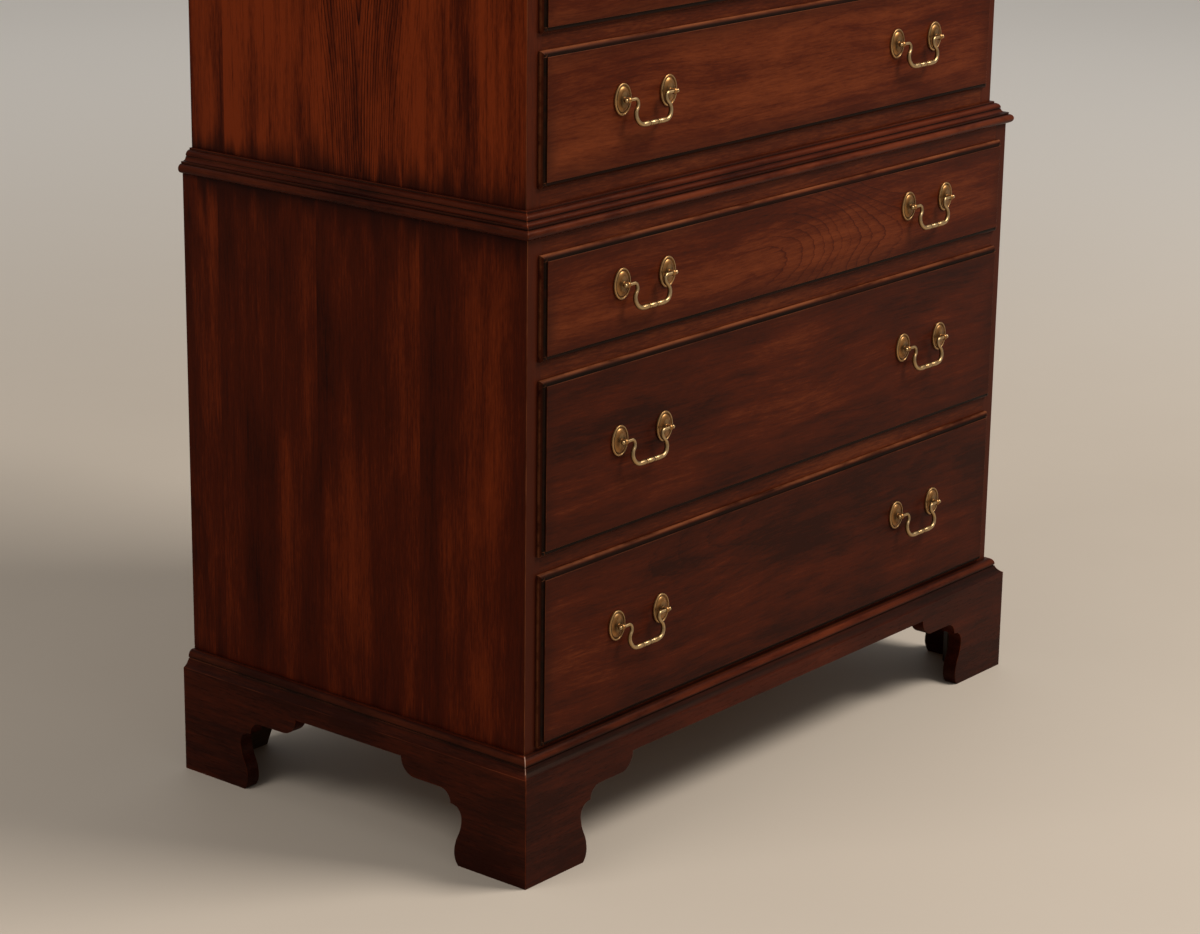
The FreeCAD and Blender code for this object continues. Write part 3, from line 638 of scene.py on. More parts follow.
@dataclass
class Shell:
    """One solid as a mesh, with what its points tell the material."""

    mesh: bmesh.types.BMesh
    border: float = 0.0

    @staticmethod
    def all_of(mesh: bpy.types.Mesh) -> Iterator["Shell"]:
        """Splits loose triangles into solids: a solid ends where all its edges have paired up.

        Args:
            mesh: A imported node's mesh.

        Yields:
            Each solid, merged and with its flat faces whole.
        """
        places = np.array([v.co for v in mesh.vertices])
        _, first, merged = np.unique(np.round(places * MICRONS).astype(np.int64), axis=0, return_index=True,
                                     return_inverse=True)
        merged = merged.ravel()
        corners: list[tuple[int, ...]] = []
        unpaired: set[tuple[int, int]] = set()
        for polygon in mesh.polygons:
            face = tuple(int(merged[v]) for v in polygon.vertices)
            if len(set(face)) < 3:
                continue
            corners.append(face)
            for edge in zip(face, face[1:] + face[:1]):
                unpaired.symmetric_difference_update({edge} if edge[::-1] not in unpaired else {edge[::-1]})
            if not unpaired:
                yield Shell.of_faces(places[first], corners)
                corners = []

    @staticmethod
    def of_faces(places: np.ndarray, faces: Sequence[Sequence[int]]) -> "Shell":
        """A shell from faces.

        Args:
            places: The points.
            faces: The points of each face.

        Returns:
            The shell, with its flat faces whole.
        """
        made = bmesh.new()
        points: dict[int, bmesh.types.BMVert] = {}
        for face in faces:
            for corner in face:
                if corner not in points:
                    points[corner] = made.verts.new(places[corner])
            made.faces.new([points[corner] for corner in face])
        bmesh.ops.dissolve_limit(made, angle_limit=math.radians(0.4), verts=made.verts, edges=made.edges)
        return Shell(made)

    @staticmethod
    def of_mesh(mesh: bpy.types.Mesh) -> "Shell":
        """A shell from a whole mesh.

        Args:
            mesh: A closed mesh with one solid.

        Returns:
            The shell, merged, facing outwards.
        """
        made = bmesh.new()
        made.from_mesh(mesh)
        bmesh.ops.remove_doubles(made, verts=made.verts, dist=1e-7)
        bmesh.ops.recalc_face_normals(made, faces=made.faces)
        return Shell(made)

    def corners(self) -> tuple[Vector, Vector]:
        """Its lowest and highest corner."""
        places = np.array([v.co for v in self.mesh.verts])
        return Vector(places.min(0)), Vector(places.max(0))

    def soften(self, width: float, chosen: Callable[[bmesh.types.BMEdge], bool] | None = None,
               segments: int = 2) -> None:
        """Rounds sharp edges, and notes wear on those that stand out and glaze with painted shade in those
        that lie in.

        Args:
            width: How far the rounding reaches on each side, in millimetres.
            chosen: Which sharp edges to round; all of them without it.
            segments: How many faces round an edge.
        """
        sharp = [e for e in self.mesh.edges if e.is_manifold and e.calc_face_angle() > ARRIS_ANGLE
                 and (chosen is None or chosen(e))]
        if not sharp:
            return
        made = bmesh.ops.bevel(self.mesh, geom=sharp, offset=width * MM, offset_type="OFFSET",
                               segments=segments, profile=0.5, affect="EDGES", clamp_overlap=False,
                               loop_slide=True)
        rounded = set(made["faces"])
        layer = self.layer("rounded")
        for face in rounded:
            for vert in face.verts:
                if set(vert.link_faces) <= rounded:
                    signs = sum(e.calc_face_angle_signed(0.0) for e in vert.link_edges)
                    vert[layer] = 1.0 if signs > 0 else -1.0

    def layer(self, name: str) -> Any:
        """A number that each point keeps through later edits."""
        return self.mesh.verts.layers.float.get(name) or self.mesh.verts.layers.float.new(name)

    def settled(self) -> tuple[list[bmesh.types.BMVert], list[list[int]]]:
        """Its points and faces, in an order that depends only on where the points lie.

        Returns:
            The points, and the numbers of each face's points.
        """
        for name in ("rounded", "glaze"):
            self.layer(name)
        verts = sorted(self.mesh.verts, key=lambda v: tuple(v.co))
        ranks = {vert: rank for rank, vert in enumerate(verts)}
        faces = [[ranks[v] for v in f.verts] for f in self.mesh.faces]
        firsts = [face.index(min(face)) for face in faces]
        return verts, sorted(face[first:] + face[:first] for face, first in zip(faces, firsts))

    def line_out(self, marks: Sequence[Mark], half: float, face: float, painted_highlight: float = 1.0) -> None:
        """Lays glaze and painted shade in a moulding's quirks and joints, and painted highlights on its
        beads.

        Args:
            marks: For each mark its place out from the case, its height and how far it reaches, in
            millimetres, and its strength, below 0 for glaze and painted shade, above 0 for a painted
            highlight.
            half: Half the case's width.
            face: Where the case's face lies.
            painted_highlight: How much of the painted highlights shows.
        """
        glaze, rounded = self.layer("glaze"), self.layer("rounded")
        for vert in self.mesh.verts:
            out = max(abs(vert.co.x) / MM - half, face - vert.co.y / MM)
            for place, height, reach, strength in marks:
                away = math.hypot(out - place, vert.co.z / MM - height)
                near = strength * max(1 - away / reach, 0.0) ** 0.5
                vert[glaze] = max(vert[glaze], -near)
                vert[rounded] = max(vert[rounded], near * painted_highlight)

    def ease_mitre(self, side: int, half: float, front: float, width: float = 1.2,
                   depth: float = 0.4) -> None:
        """Takes the knife edge off a mitre, so that the two boards meet in one rounded arris.

        Args:
            side: The case's corner, -1 for the left one and 1 for the right one.
            half: Half the case's width, in millimetres.
            front: Where the case's face lies.
            width: How far the rounding reaches from the mitre.
            depth: How much comes off the arris.
        """
        corner, out = Vector((side * half, front, 0)) * MM, Vector((side, -1, 0)).normalized()
        face = Vector((-out.y, out.x, 0.0))
        middle = sum((v.co for v in self.mesh.verts), Vector()) / len(self.mesh.verts)
        inwards = face if (middle - corner).dot(face) > 0 else -face
        geom = [*self.mesh.verts, *self.mesh.edges, *self.mesh.faces]
        bmesh.ops.bisect_plane(self.mesh, geom=geom, plane_co=corner + inwards * width * MM, plane_no=inwards)
        layer = self.layer("rounded")
        for vert in self.mesh.verts:
            away = vert.co - corner
            if abs(away.dot(face)) < NEAR and away.dot(out) > 0.003:
                vert.co -= out * depth * MM
                vert[layer] = 1.0


@dataclass
class Joinery:
    """Turns shells into finished pieces."""

    finishes: Finishes
    count: int = 0

    def piece(self, name: str, body: str, nodes: Sequence[str], shells: Sequence[Shell], timber: Timber,
              figures: Sequence[Figure] = ()) -> None:
        """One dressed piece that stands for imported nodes.

        Args:
            name: The piece's name.
            body: The body that it rides on.
            nodes: The nodes that it stands for.
            shells: Its solids.
            timber: Its wood.
            figures: How each solid's board was cut; drawn at random without them.
        """
        places: list[Vector] = []
        faces: list[list[int]] = []
        traits: dict[Trait, list[Any]] = {trait: [] for trait in Trait}
        for index, shell in enumerate(shells):
            self.count += 1
            figure = figures[index] if index < len(figures) else None
            verts, numbers = shell.settled()
            faces.extend([len(places) + number for number in face] for face in numbers)
            places.extend(v.co.copy() for v in verts)
            self.note_traits(shell, verts, figure, traits)
            shell.mesh.free()
        mesh = bpy.data.meshes.new(name)
        mesh.from_pydata(places, [], faces)
        for trait, values in traits.items():
            single = not isinstance(values[0], tuple)
            layer = mesh.attributes.new(trait.value, "FLOAT" if single else "FLOAT_VECTOR", "POINT")
            layer.data.foreach_set("value" if single else "vector", np.array(values, np.float32).ravel())
        mesh.materials.append(self.finishes.of(timber))
        attach(self.weigh_normals(mesh, name), body, nodes, timber.slot)

    def plain(self, node: str, word: str, body: str, timber: Timber, arris: float) -> None:
        """One piece whose solids only have their edges rounded.

        Args:
            node: The node that it stands for.
            word: What its name adds to the node's.
            body: The body that it rides on.
            timber: Its wood.
            arris: How far the rounding reaches, in millimetres.
        """
        shells = shells_of(node)
        for shell in shells:
            shell.soften(arris)
        self.piece(f"{node}_{word}", body, [node], shells, timber)

    def note_traits(self, shell: Shell, verts: Sequence[bmesh.types.BMVert], figure: Figure | None,
                    traits: dict[Trait, list[Any]]) -> None:
        """Adds one shell's values to the piece's traits.

        Args:
            shell: The solid.
            verts: Its points, in order.
            figure: How its board was cut, or None to draw it.
            traits: The lists to add to.
        """
        draw = random.Random(self.count)
        seed = tuple(draw.uniform(0, 60) for _ in range(3))
        if figure is None:
            figure = Figure(draw.uniform(-0.03, 0.03), draw.choice((-1, 1)) * draw.uniform(30, 160),
                            draw.uniform(60, 160), draw.uniform(-200, 200), 150.0, draw.uniform(0, 0.8),
                            draw.uniform(-0.1, 0.1))
        low, high = shell.corners()
        order = sorted(range(3), key=lambda axis: low[axis] - high[axis])
        middle = (low + high) / 2
        span = (*((high[axis] - low[axis]) / 2 for axis in order[:2]), shell.border * MM)
        rounded, glaze = shell.layer("rounded"), shell.layer("glaze")
        for vert in verts:
            away = vert.co - middle
            traits[Trait.BOARD].append(tuple(away[axis] for axis in order))
            traits[Trait.SEED].append(seed)
            traits[Trait.HEART].append((figure.lean, figure.across * MM, figure.depth * MM))
            traits[Trait.ACCENT].append((figure.accent_place * MM, figure.accent_reach * MM, figure.accent))
            traits[Trait.WEAR].append(max(vert[rounded], 0.0))
            traits[Trait.GLAZE].append(max(-vert[rounded], vert[glaze]))
            traits[Trait.SPAN].append(span)
            traits[Trait.TONE].append(figure.tone)

    @staticmethod
    def weigh_normals(mesh: bpy.types.Mesh, name: str) -> bpy.types.Object:
        """Smooths a mesh so that its broad faces stay flat.

        Args:
            mesh: The mesh.
            name: The object's name.

        Returns:
            A linked object with the smoothed mesh and no modifier.
        """
        mesh.shade_smooth()
        mesh.set_sharp_from_angle(angle=CREASE_ANGLE)
        made = link(name, mesh)
        weigh = made.modifiers.new("weigh", "WEIGHTED_NORMAL")
        weigh.keep_sharp = True
        weigh.weight = 80
        smooth = evaluated(made)
        made.modifiers.remove(weigh)
        made.data = smooth
        smooth.name = name
        return made


def attach(piece: bpy.types.Object, body: str, nodes: Sequence[str], slot: str) -> None:
    """Ties a piece to its body and hides the nodes that it stands for.

    Args:
        piece: The finished object.
        body: The body's name.
        nodes: The nodes' names.
        slot: Not used.
    """
    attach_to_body(piece, body)
    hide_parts(*nodes)
    LOG.info("%s: %d faces on %s", piece.name, len(piece.data.polygons), body)


def shells_of(node: str) -> list[Shell]:
    """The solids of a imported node."""
    return list(Shell.all_of(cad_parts[node].data))


def on_mitre(edge: bmesh.types.BMEdge, half: float, face: float) -> bool:
    """Whether an edge lies in a mitre at one of the two front corners of a case."""
    return all(abs((abs(v.co.x) - half * MM) - (face * MM - v.co.y)) < 2 * NEAR and v.co.y < face * MM + TINY
               for v in edge.verts)


@dataclass
class BracketBase:
    """The scrolled bracket base with its glue blocks."""

    joinery: Joinery
    body: str = "chest"
    arris: float = 0.45
    block_arris: float = 0.6
    case_half: float = LOWER_HALF
    case_face: float = LOWER_FACE
    chip_foot: float = 128.0
    # Glaze and painted shade under the drawer's lip and in the quirk, and a painted highlight on the bead;
    # the front adds a wider painted shadow under the lip and a darker cyma.
    marks: tuple[Mark, ...] = ((0.5, 143.5, 2.6, -1.0), (9.2, 134.3, 2.4, -1.0), (8.6, 139.0, 3.4, 0.6))
    front_marks: tuple[Mark, ...] = ((1.0, 143.5, 6.0, -1.0), (12.5, 129.5, 7.5, -0.9))
    figure: Figure = Figure(0.02, 60.0, 130.0, 0.0, 200.0, 0.3, -0.3)

    def build(self) -> None:
        """Makes the three mitred boards, the rear brackets and the blocks."""
        for name, mitres in (("plinth_front", (-1, 1)), ("plinth_left", (-1,)), ("plinth_right", (1,))):
            # The side boards show less of the painted highlights than the lit front.
            marks, painted_highlight, figure = self.marks, 0.4, self.figure
            if name == "plinth_front":
                marks, painted_highlight, figure = marks + self.front_marks, 0.6, replace(figure, accent=3.2)
            shells = shells_of(name)
            for shell in shells:
                shell.soften(self.arris, lambda edge: not on_mitre(edge, self.case_half, self.case_face))
                for side in mitres:
                    shell.ease_mitre(side, self.case_half, self.case_face)
                shell.line_out(marks, self.case_half, self.case_face, painted_highlight)
                self.chip_corner(shell)
            self.joinery.piece(f"{name}_board", self.body, [name], shells, CHERRY_MOULD, [figure])
        for name in ("rear_foot_brackets", "foot_glue_blocks"):
            self.joinery.plain(name, "set", self.body, BLOCK_WOOD, self.block_arris)

    def chip_corner(self, shell: Shell) -> None:
        """Marks the knocked top of the front left corner, where the stain is gone.

        Args:
            shell: One of the mitred boards.
        """
        layer = shell.layer("rounded")
        tip = Vector((-self.case_half, self.case_face)) * MM
        for vert in shell.mesh.verts:
            out = max(tip.x - vert.co.x, tip.y - vert.co.y)
            aside = max(vert.co.x - tip.x, vert.co.y - tip.y) + out
            if vert[layer] > FULL_WEAR and vert.co.z > self.chip_foot * MM and aside < 10 * NEAR:
                vert[layer] = CHIPPED


@dataclass
class Mouldings:
    """The waist moulding and the cornice, as mitred runs of a section."""

    joinery: Joinery
    body: str = "chest"
    half: float = UPPER_HALF
    face: float = UPPER_FACE
    back: float = 263.65
    waist_foot: float = 700.5
    cornice_foot: float = 1313.9
    arris: float = 0.28
    mitre_width: float = 1.0
    mitre_depth: float = 0.3
    # The side runs show less of the painted highlights than the front run.
    side_painted_highlight: float = 0.25
    figure: Figure = Figure(0.02, 60.0, 130.0, 0.0, 200.0, 0.3, -0.12)
    # Glaze and painted shade in the quirks and along the joints with the cases, and painted highlights on the
    # ogee's arrises and the torus.
    marks: tuple[Mark, ...] = (
        (0.5, 726.9, 3.0, -1.0), (4.0, 724.6, 1.7, -0.9), (15.4, 713.4, 2.2, -1.0), (16.8, 711.1, 2.0, -1.0),
        (9.3, 718.3, 1.5, -1.0), (8.6, 722.4, 2.4, 0.4), (11.4, 715.6, 1.8, 0.3), (16.6, 700.5, 3.0, -1.0),
        (21.2, 708.0, 4.0, 0.7), (3.0, 1321.9, 3.0, -1.0), (27.0, 1347.9, 3.0, -1.0))

    def waist_section(self) -> Section:
        """The waist moulding: a torus, a fillet, and a quirked ogee under a cap, on the lower case's edge."""
        foot = self.waist_foot
        section = Section(0, foot + 26.4).line((4, foot + 26.4), (4, foot + 24.3))
        section.arc(10, foot + 18.3, -90).line((9.2, foot + 18.3), (9.2, foot + 17.4), (10, foot + 17.4))
        section.arc(15.4, foot + 12.9, 90)
        section.line((17.2, foot + 12.9), (17.2, foot + 11.2), (16.6, foot + 10.6)).arc(16.6, foot, -180, 18)
        return section.line((15, foot), (15, foot + 11.5), (0, foot + 11.5))

    def cornice_section(self) -> Section:
        """The cornice: a bead, a fillet, a cove, a step and a crown under a flat fascia."""
        foot = self.cornice_foot
        section = Section(0, foot).line((3, foot)).arc(3, foot + 8, 180, 14)
        section.line((7, foot + 8), (7, foot + 12)).arc(27, foot + 32, -90, 14)
        section.line((27, foot + 36), (29, foot + 36)).arc(33, foot + 44, 60)
        return section.line((33, foot + 58), (0, foot + 58))

    def run_shape(self) -> NodeShape:
        """The tree that sweeps a section along a straight run and mitres its ends.

        Returns:
            The tree, with the run's length and its two mitres as inputs.
        """
        shape = NodeShape("moulding_run", {"Length": "Float", "Start Mitre": "Float", "End Mitre": "Float",
                                           "Wood": "Material"})
        graph = shape.graph
        profile = shape.base_curve()
        path = graph.value("GeometryNodeCurvePrimitiveLine", None,
                           {"Start": (0.0, 0.0, 0.0), "End": graph.point(z=shape.input("Length"))})
        swept = graph.value("GeometryNodeCurveToMesh", None,
                            {"Curve": path, "Profile Curve": profile, "Fill Caps": True})
        out, _, height = graph.parts(graph.value("GeometryNodeInputPosition"))
        at_start = height < shape.input("Length") * 0.5
        stretch = out * ((1 - at_start) * shape.input("End Mitre") - at_start * shape.input("Start Mitre"))
        mitred = graph.value("GeometryNodeSetPosition", None,
                             {"Geometry": swept, "Offset": graph.point(z=stretch)})
        shape.finish(mitred, shape.input("Wood"))
        return shape

    def build(self) -> None:
        """Makes both mouldings, each of a front run and two side runs."""
        shape = self.run_shape()
        wood = self.joinery.finishes.of(CHERRY_MOULD)
        sections = {"waist_moulding": self.waist_section(), "cornice_moulding": self.cornice_section()}
        front = Matrix(((0, 0, 1), (-1, 0, 0), (0, 1, 0)))
        for node, section in sections.items():
            shells = []
            for side in (0, -1, 1):
                long = 2 * self.half if side == 0 else self.back - self.face
                values = {"Length": long * MM, "Start Mitre": 1.0, "End Mitre": 0.0 if side else 1.0,
                          "Wood": wood}
                mesh = shape.run(section.mesh(f"{node}_section", True), values)
                turn = Matrix(((side, 0, 0), (0, 0, 1), (0, 1, 0))) if side else front
                start = Vector(((side or -1) * self.half, self.face, 0)) * MM
                mesh.transform(Matrix.Translation(start) @ turn.to_4x4())
                shell = Shell.of_mesh(mesh)
                shell.soften(self.arris, lambda edge: not on_mitre(edge, self.half, self.face))
                shell.line_out(self.marks, self.half, self.face, self.side_painted_highlight if side else 1.0)
                for end in ((side,) if side else (-1, 1)):
                    shell.ease_mitre(end, self.half, self.face, self.mitre_width, self.mitre_depth)
                shells.append(shell)
            figures = [self.figure] * len(shells)
            self.joinery.piece(f"{node}_runs", self.body, [node], shells, CHERRY_MOULD, figures)


@dataclass
class Case:
    """One of the two cases, without its drawers."""

    joinery: Joinery
    word: str
    half: float
    face: float
    figures: dict[str, Figure]
    timber: Timber
    body: str = "chest"
    arris: float = 0.9
    border: float = 40.0

    def outer_arris(self, edge: bmesh.types.BMEdge) -> bool:
        """Whether an edge is the upright arris at the case's front corner."""
        return all(abs(abs(v.co.x) - self.half * MM) < NEAR and abs(v.co.y - self.face * MM) < NEAR
                   for v in edge.verts)

    def build(self) -> None:
        """Makes the sides, the rails, the frames, the back and the top board."""
        for side, figure in self.figures.items():
            node = f"{self.word}_{side}_side"
            shells = shells_of(node)
            for shell in shells:
                shell.soften(self.arris, self.outer_arris)
                shell.border = self.border
            self.joinery.piece(f"{node}_panel", self.body, [node], shells, self.timber, [figure])
        plain = [(f"{self.word}_front_rails", CHERRY, 0.2), (f"{self.word}_runner_frames", INNER_WOOD, 0.5),
                 (f"{self.word}_back_panel", BACK_PLY, 0.4), (f"{self.word}_top_board", CHERRY, 0.4)]
        if self.word == "upper":
            plain.append(("small_drawer_divider", CHERRY, 0.2))
        for node, timber, arris in plain:
            self.joinery.plain(node, "wood", self.body, timber, arris)


@dataclass
class Drawers:
    """The eight drawers' fronts and boxes."""

    joinery: Joinery
    names: tuple[str, ...]
    lip_round: float = 6.2
    lip_rim_depth: float = 5.2
    lip_back: float = 7.7
    arris: float = 0.3
    box_arris: float = 0.35
    border: float = 34.0
    # Glaze with painted shade in the lip's cove, starting further in on top, and a painted highlight along
    # its rim, wider and stronger on top.
    glaze_and_shade_start: tuple[float, float] = (1.2, 1.8)  # in from the lip's rim, elsewhere and on top
    glaze_and_shade_fade: float = 1.4
    rim_highlight_width: tuple[float, float] = (1.0, 2.0)
    rim_reach: float = 2.6
    rim_highlight: tuple[float, float] = (0.45, 0.95)
    # The tones are partly painted light: the lower drawers darker than the upper one.
    figures: dict[str, Figure] = field(default_factory=lambda: {
        "lower_drawer_1": Figure(0.28, -22.0, 60.0, 95.0, 130.0, 1.7, -0.02),
        "lower_drawer_2": Figure(0.05, -95.0, 110.0, 120.0, 200.0, 0.5, -0.21),
        "lower_drawer_3": Figure(-0.05, 70.0, 90.0, -150.0, 180.0, 0.4, -0.17),
        "upper_drawer_3": Figure(0.03, 90.0, 120.0, 60.0, 220.0, 0.4, 0.06)})

    def build(self) -> None:
        """Makes every drawer's front and box."""
        for name in self.names:
            front = f"{name}_front"
            shells = shells_of(front)
            for shell in shells:
                self.dress_front(shell)
            figures = [self.figures[name]] if name in self.figures else []
            self.joinery.piece(f"{front}_board", name, [front], shells, CHERRY_FRONT, figures)
            self.joinery.plain(f"{name}_box", "boards", name, INNER_WOOD, self.box_arris)

    @staticmethod
    def clear_field(shell: Shell, front: float) -> None:
        """Makes the raised field one whole face, because the rosettes cover its bores.

        Args:
            shell: The front's solid.
            front: Where the field lies on Y, in metres.
        """
        field_faces = [f for f in shell.mesh.faces if all(abs(v.co.y - front) < TINY for v in f.verts)]
        rim = {v for f in field_faces for v in f.verts}
        ends = ((-1, -1), (1, -1), (1, 1), (-1, 1))
        corners = [max(rim, key=lambda v: side * v.co.x + top * v.co.z) for side, top in ends]
        bmesh.ops.delete(shell.mesh, geom=field_faces, context="FACES_ONLY")
        shell.mesh.faces.new(corners)
        bmesh.ops.delete(shell.mesh, geom=[e for e in shell.mesh.edges if e.is_wire], context="EDGES")

    def dress_front(self, shell: Shell) -> None:
        """Softens a front's arrises, lays glaze with painted shade in its moulded edge, paints a highlight
        along its rim and shades its field.

        Args:
            shell: The front's solid.
        """
        low, high = shell.corners()
        lip_back = low.y + self.lip_back * MM
        self.clear_field(shell, low.y)
        shell.soften(self.arris, lambda edge: all(v.co.y < lip_back + NEAR for v in edge.verts))
        shell.border = self.border
        glaze, rounded = shell.layer("glaze"), shell.layer("rounded")
        for vert in shell.mesh.verts:
            inset = min(vert.co.x - low.x, high.x - vert.co.x, vert.co.z - low.z, high.z - vert.co.z) / MM
            sunk = (vert.co.y - low.y) / MM
            on_top = (high.z - vert.co.z) / MM < inset + 0.01
            # Glaze with painted shade in the cove, and the painted highlight along the rim.
            if 0.6 < sunk < self.lip_rim_depth and inset < self.lip_round + 0.1:
                vert[glaze] = min(max((inset - self.glaze_and_shade_start[on_top]) / self.glaze_and_shade_fade, 0.0), 1.0)
            rim = self.rim_highlight_width[on_top]
            if abs(sunk - self.lip_rim_depth) < self.rim_reach and inset < rim:
                vert[rounded] = max(vert[rounded], self.rim_highlight[on_top] * (1 - inset / rim))


@dataclass
class Pulls:
    """The brass bail pulls: rosettes, posts and nuts on each drawer, and the swinging bails."""

    joinery: Joinery
    bails: dict[str, list[str]]
    post_spacing: float = 76.2
    pivot_reach: float = 9.0
    wire: float = 1.9
    drop: float = 27.5
    lean: float = 9.0
    bow: tuple[float, float] = (29.0, 16.5)
    curl: tuple[float, float] = (23.5, 4.0)
    knob: float = 2.5
    knob_turns: tuple[int, ...] = (130, 110, 90, 65, 45, 28, 14, 1)
    pin_end: float = 4.35
    inside: float = 22.0
    bore: float = 2.15
    swell_top: float = 5.0
    bail_sides: int = 18
    bail_steps: int = 361
    # How much painted sheen the bails' outer side gets, and painted shade their inner side.
    bail_top_light: float = 0.75
    grip: tuple[tuple[float, float], ...] = (
        (0.0, 2.85), (2.5, 2.75), (5.0, 2.1), (5.25, 2.5), (5.7, 2.8), (6.5, 2.95), (7.3, 2.8), (7.75, 2.5),
        (8.0, 2.1), (9.0, 2.5), (10.5, 2.8), (13.0, 2.95), (15.5, 2.85), (17.0, 2.7), (18.5, 2.5),
        (22.0, 2.45), (28.0, 2.5), (34.0, 2.45), (42.0, 2.2), (50.0, 1.95))
    # The rosette darkens round its post: patina, and painted shade round the post and under the bail.
    centre_darkening: float = 0.9
    centre_darkening_edge: float = 9.5
    centre_darkening_fade: float = 4.0

    def turning_shape(self) -> NodeShape:
        """The tree that turns a section about the Y axis, towards the front.

        Returns:
            The tree, with the number of sides, the oval's stretch and a cross bore as inputs.
        """
        shape = NodeShape("turning", {"Sides": "Int", "Oval Stretch": "Float", "Round Within": "Float",
                                      "Bore": "Float", "Bore Place": "Float", "Metal": "Material"})
        graph = shape.graph
        profile = shape.base_curve()
        ring = graph.value("GeometryNodeCurvePrimitiveCircle", None,
                           {"Resolution": shape.input("Sides"), "Radius": TINY})
        turned = graph.value("GeometryNodeCurveToMesh", None, {"Curve": ring, "Profile Curve": profile})
        across, up, depth = graph.parts(graph.value("GeometryNodeInputPosition"))
        reach = (across * across + up * up) ** 0.5 + TINY
        drawn = shape.input("Oval Stretch") * (reach / (shape.input("Round Within") + TINY)).rise(0.45, 1.0)
        place = graph.point(across, depth, up * (1 + drawn / reach))
        stood = graph.value("GeometryNodeSetPosition", None, {"Geometry": turned, "Position": place})
        whole = graph.value("GeometryNodeMergeByDistance", None, {"Geometry": stood, "Distance": NEAR})
        drill = graph.value("GeometryNodeMeshCylinder", None,
                            {"Vertices": 24, "Radius": shape.input("Bore"), "Depth": 0.03})
        drill = graph.value("GeometryNodeTransform", None,
                            {"Geometry": drill, "Translation": graph.point(y=shape.input("Bore Place")),
                             "Rotation": (0.0, math.pi / 2, 0.0)})
        bored = graph.value("GeometryNodeMeshBoolean", {"operation": "DIFFERENCE", "solver": "EXACT"},
                            {0: whole, 1: drill})
        wanted = graph.value("GeometryNodeSwitch", {"input_type": "GEOMETRY"},
                             {"Switch": shape.input("Bore") > 0, "False": whole, "True": bored})
        shape.finish(wanted, shape.input("Metal"))
        return shape

    def fittings_shape(self) -> NodeShape:
        """The tree that sets a rosette, a post and a nut at every post's place.

        Returns:
            The tree, with the three fittings as inputs.
        """
        shape = NodeShape("pull_fittings", {"Rosette": "Object", "Post": "Object", "Nut": "Object",
                                            "Metal": "Material"})
        graph = shape.graph
        join = graph.add("GeometryNodeJoinGeometry")
        for label in ("Rosette", "Post", "Nut"):
            fitting = graph.value("GeometryNodeObjectInfo", None, {"Object": shape.input(label)}, "Geometry")
            set_out = graph.value("GeometryNodeInstanceOnPoints", None,
                                  {"Points": shape.input("Geometry"), "Instance": fitting})
            graph.feed(join.inputs[0], set_out)
        shape.finish(join.outputs[0], shape.input("Metal"))
        return shape

    def bail_shape(self) -> NodeShape:
        """The tree that sweeps the wire along the bail's line and swells it into the turned grip.

        Returns:
            The tree, with the wire's sides and the number of steps as inputs.
        """
        shape = NodeShape("swan_neck_bail", {"Sides": "Int", "Steps": "Int", "Metal": "Material"})
        graph = shape.graph
        line = shape.base_curve()
        line = graph.value("GeometryNodeResampleCurve", None, {"Curve": line, "Count": shape.input("Steps")})
        ring = graph.value("GeometryNodeCurvePrimitiveCircle", None,
                           {"Resolution": shape.input("Sides"), "Radius": 1.0})
        run = abs(graph.value("GeometryNodeSplineParameter", None, None, "Factor") * 2.0 - 1.0)
        line_points = self.bail_line().points
        span = sum(math.dist(first, second) for first, second in zip(line_points, line_points[1:])) / 2
        ends = [(span - self.knob + self.knob * math.cos(turn), self.knob * math.sin(turn))
                for turn in np.radians(self.knob_turns)]
        sizes = (*self.grip, (ends[0][0] - 0.1, self.wire), *ends)
        points = [(place / span, size / self.swell_top) for place, size in sizes]
        swell = graph.value("ShaderNodeFloatCurve", {"points": points}, {"Value": run})
        swept = graph.value("GeometryNodeCurveToMesh", None,
                            {"Curve": line, "Profile Curve": ring, "Scale": swell * self.swell_top * MM,
                             "Fill Caps": True})
        shape.finish(swept, shape.input("Metal"))
        return shape

    def bail_line(self) -> Section:
        """The bail's centre line, from one pin to the other, about its pivot axis."""
        (bow, bow_height), (curl, curl_height) = self.bow, self.curl
        fall = bow_height - curl_height
        sway = 2 * math.degrees(math.atan2(bow - curl, fall))
        half = Section(0, -self.drop).line((bow - self.drop + bow_height, -self.drop))
        half.arc(bow, -bow_height, 90, 12)
        half.arc((bow + curl) / 2, -curl_height - fall / 2, sway, 8).arc(curl, -curl_height, -sway, 8)
        half.arc(curl + curl_height, 0, -90, 12).line((self.post_spacing / 2 + self.pin_end + self.knob, 0))
        half.points = [(-u, v) for u, v in half.points[:0:-1]] + half.points
        return half

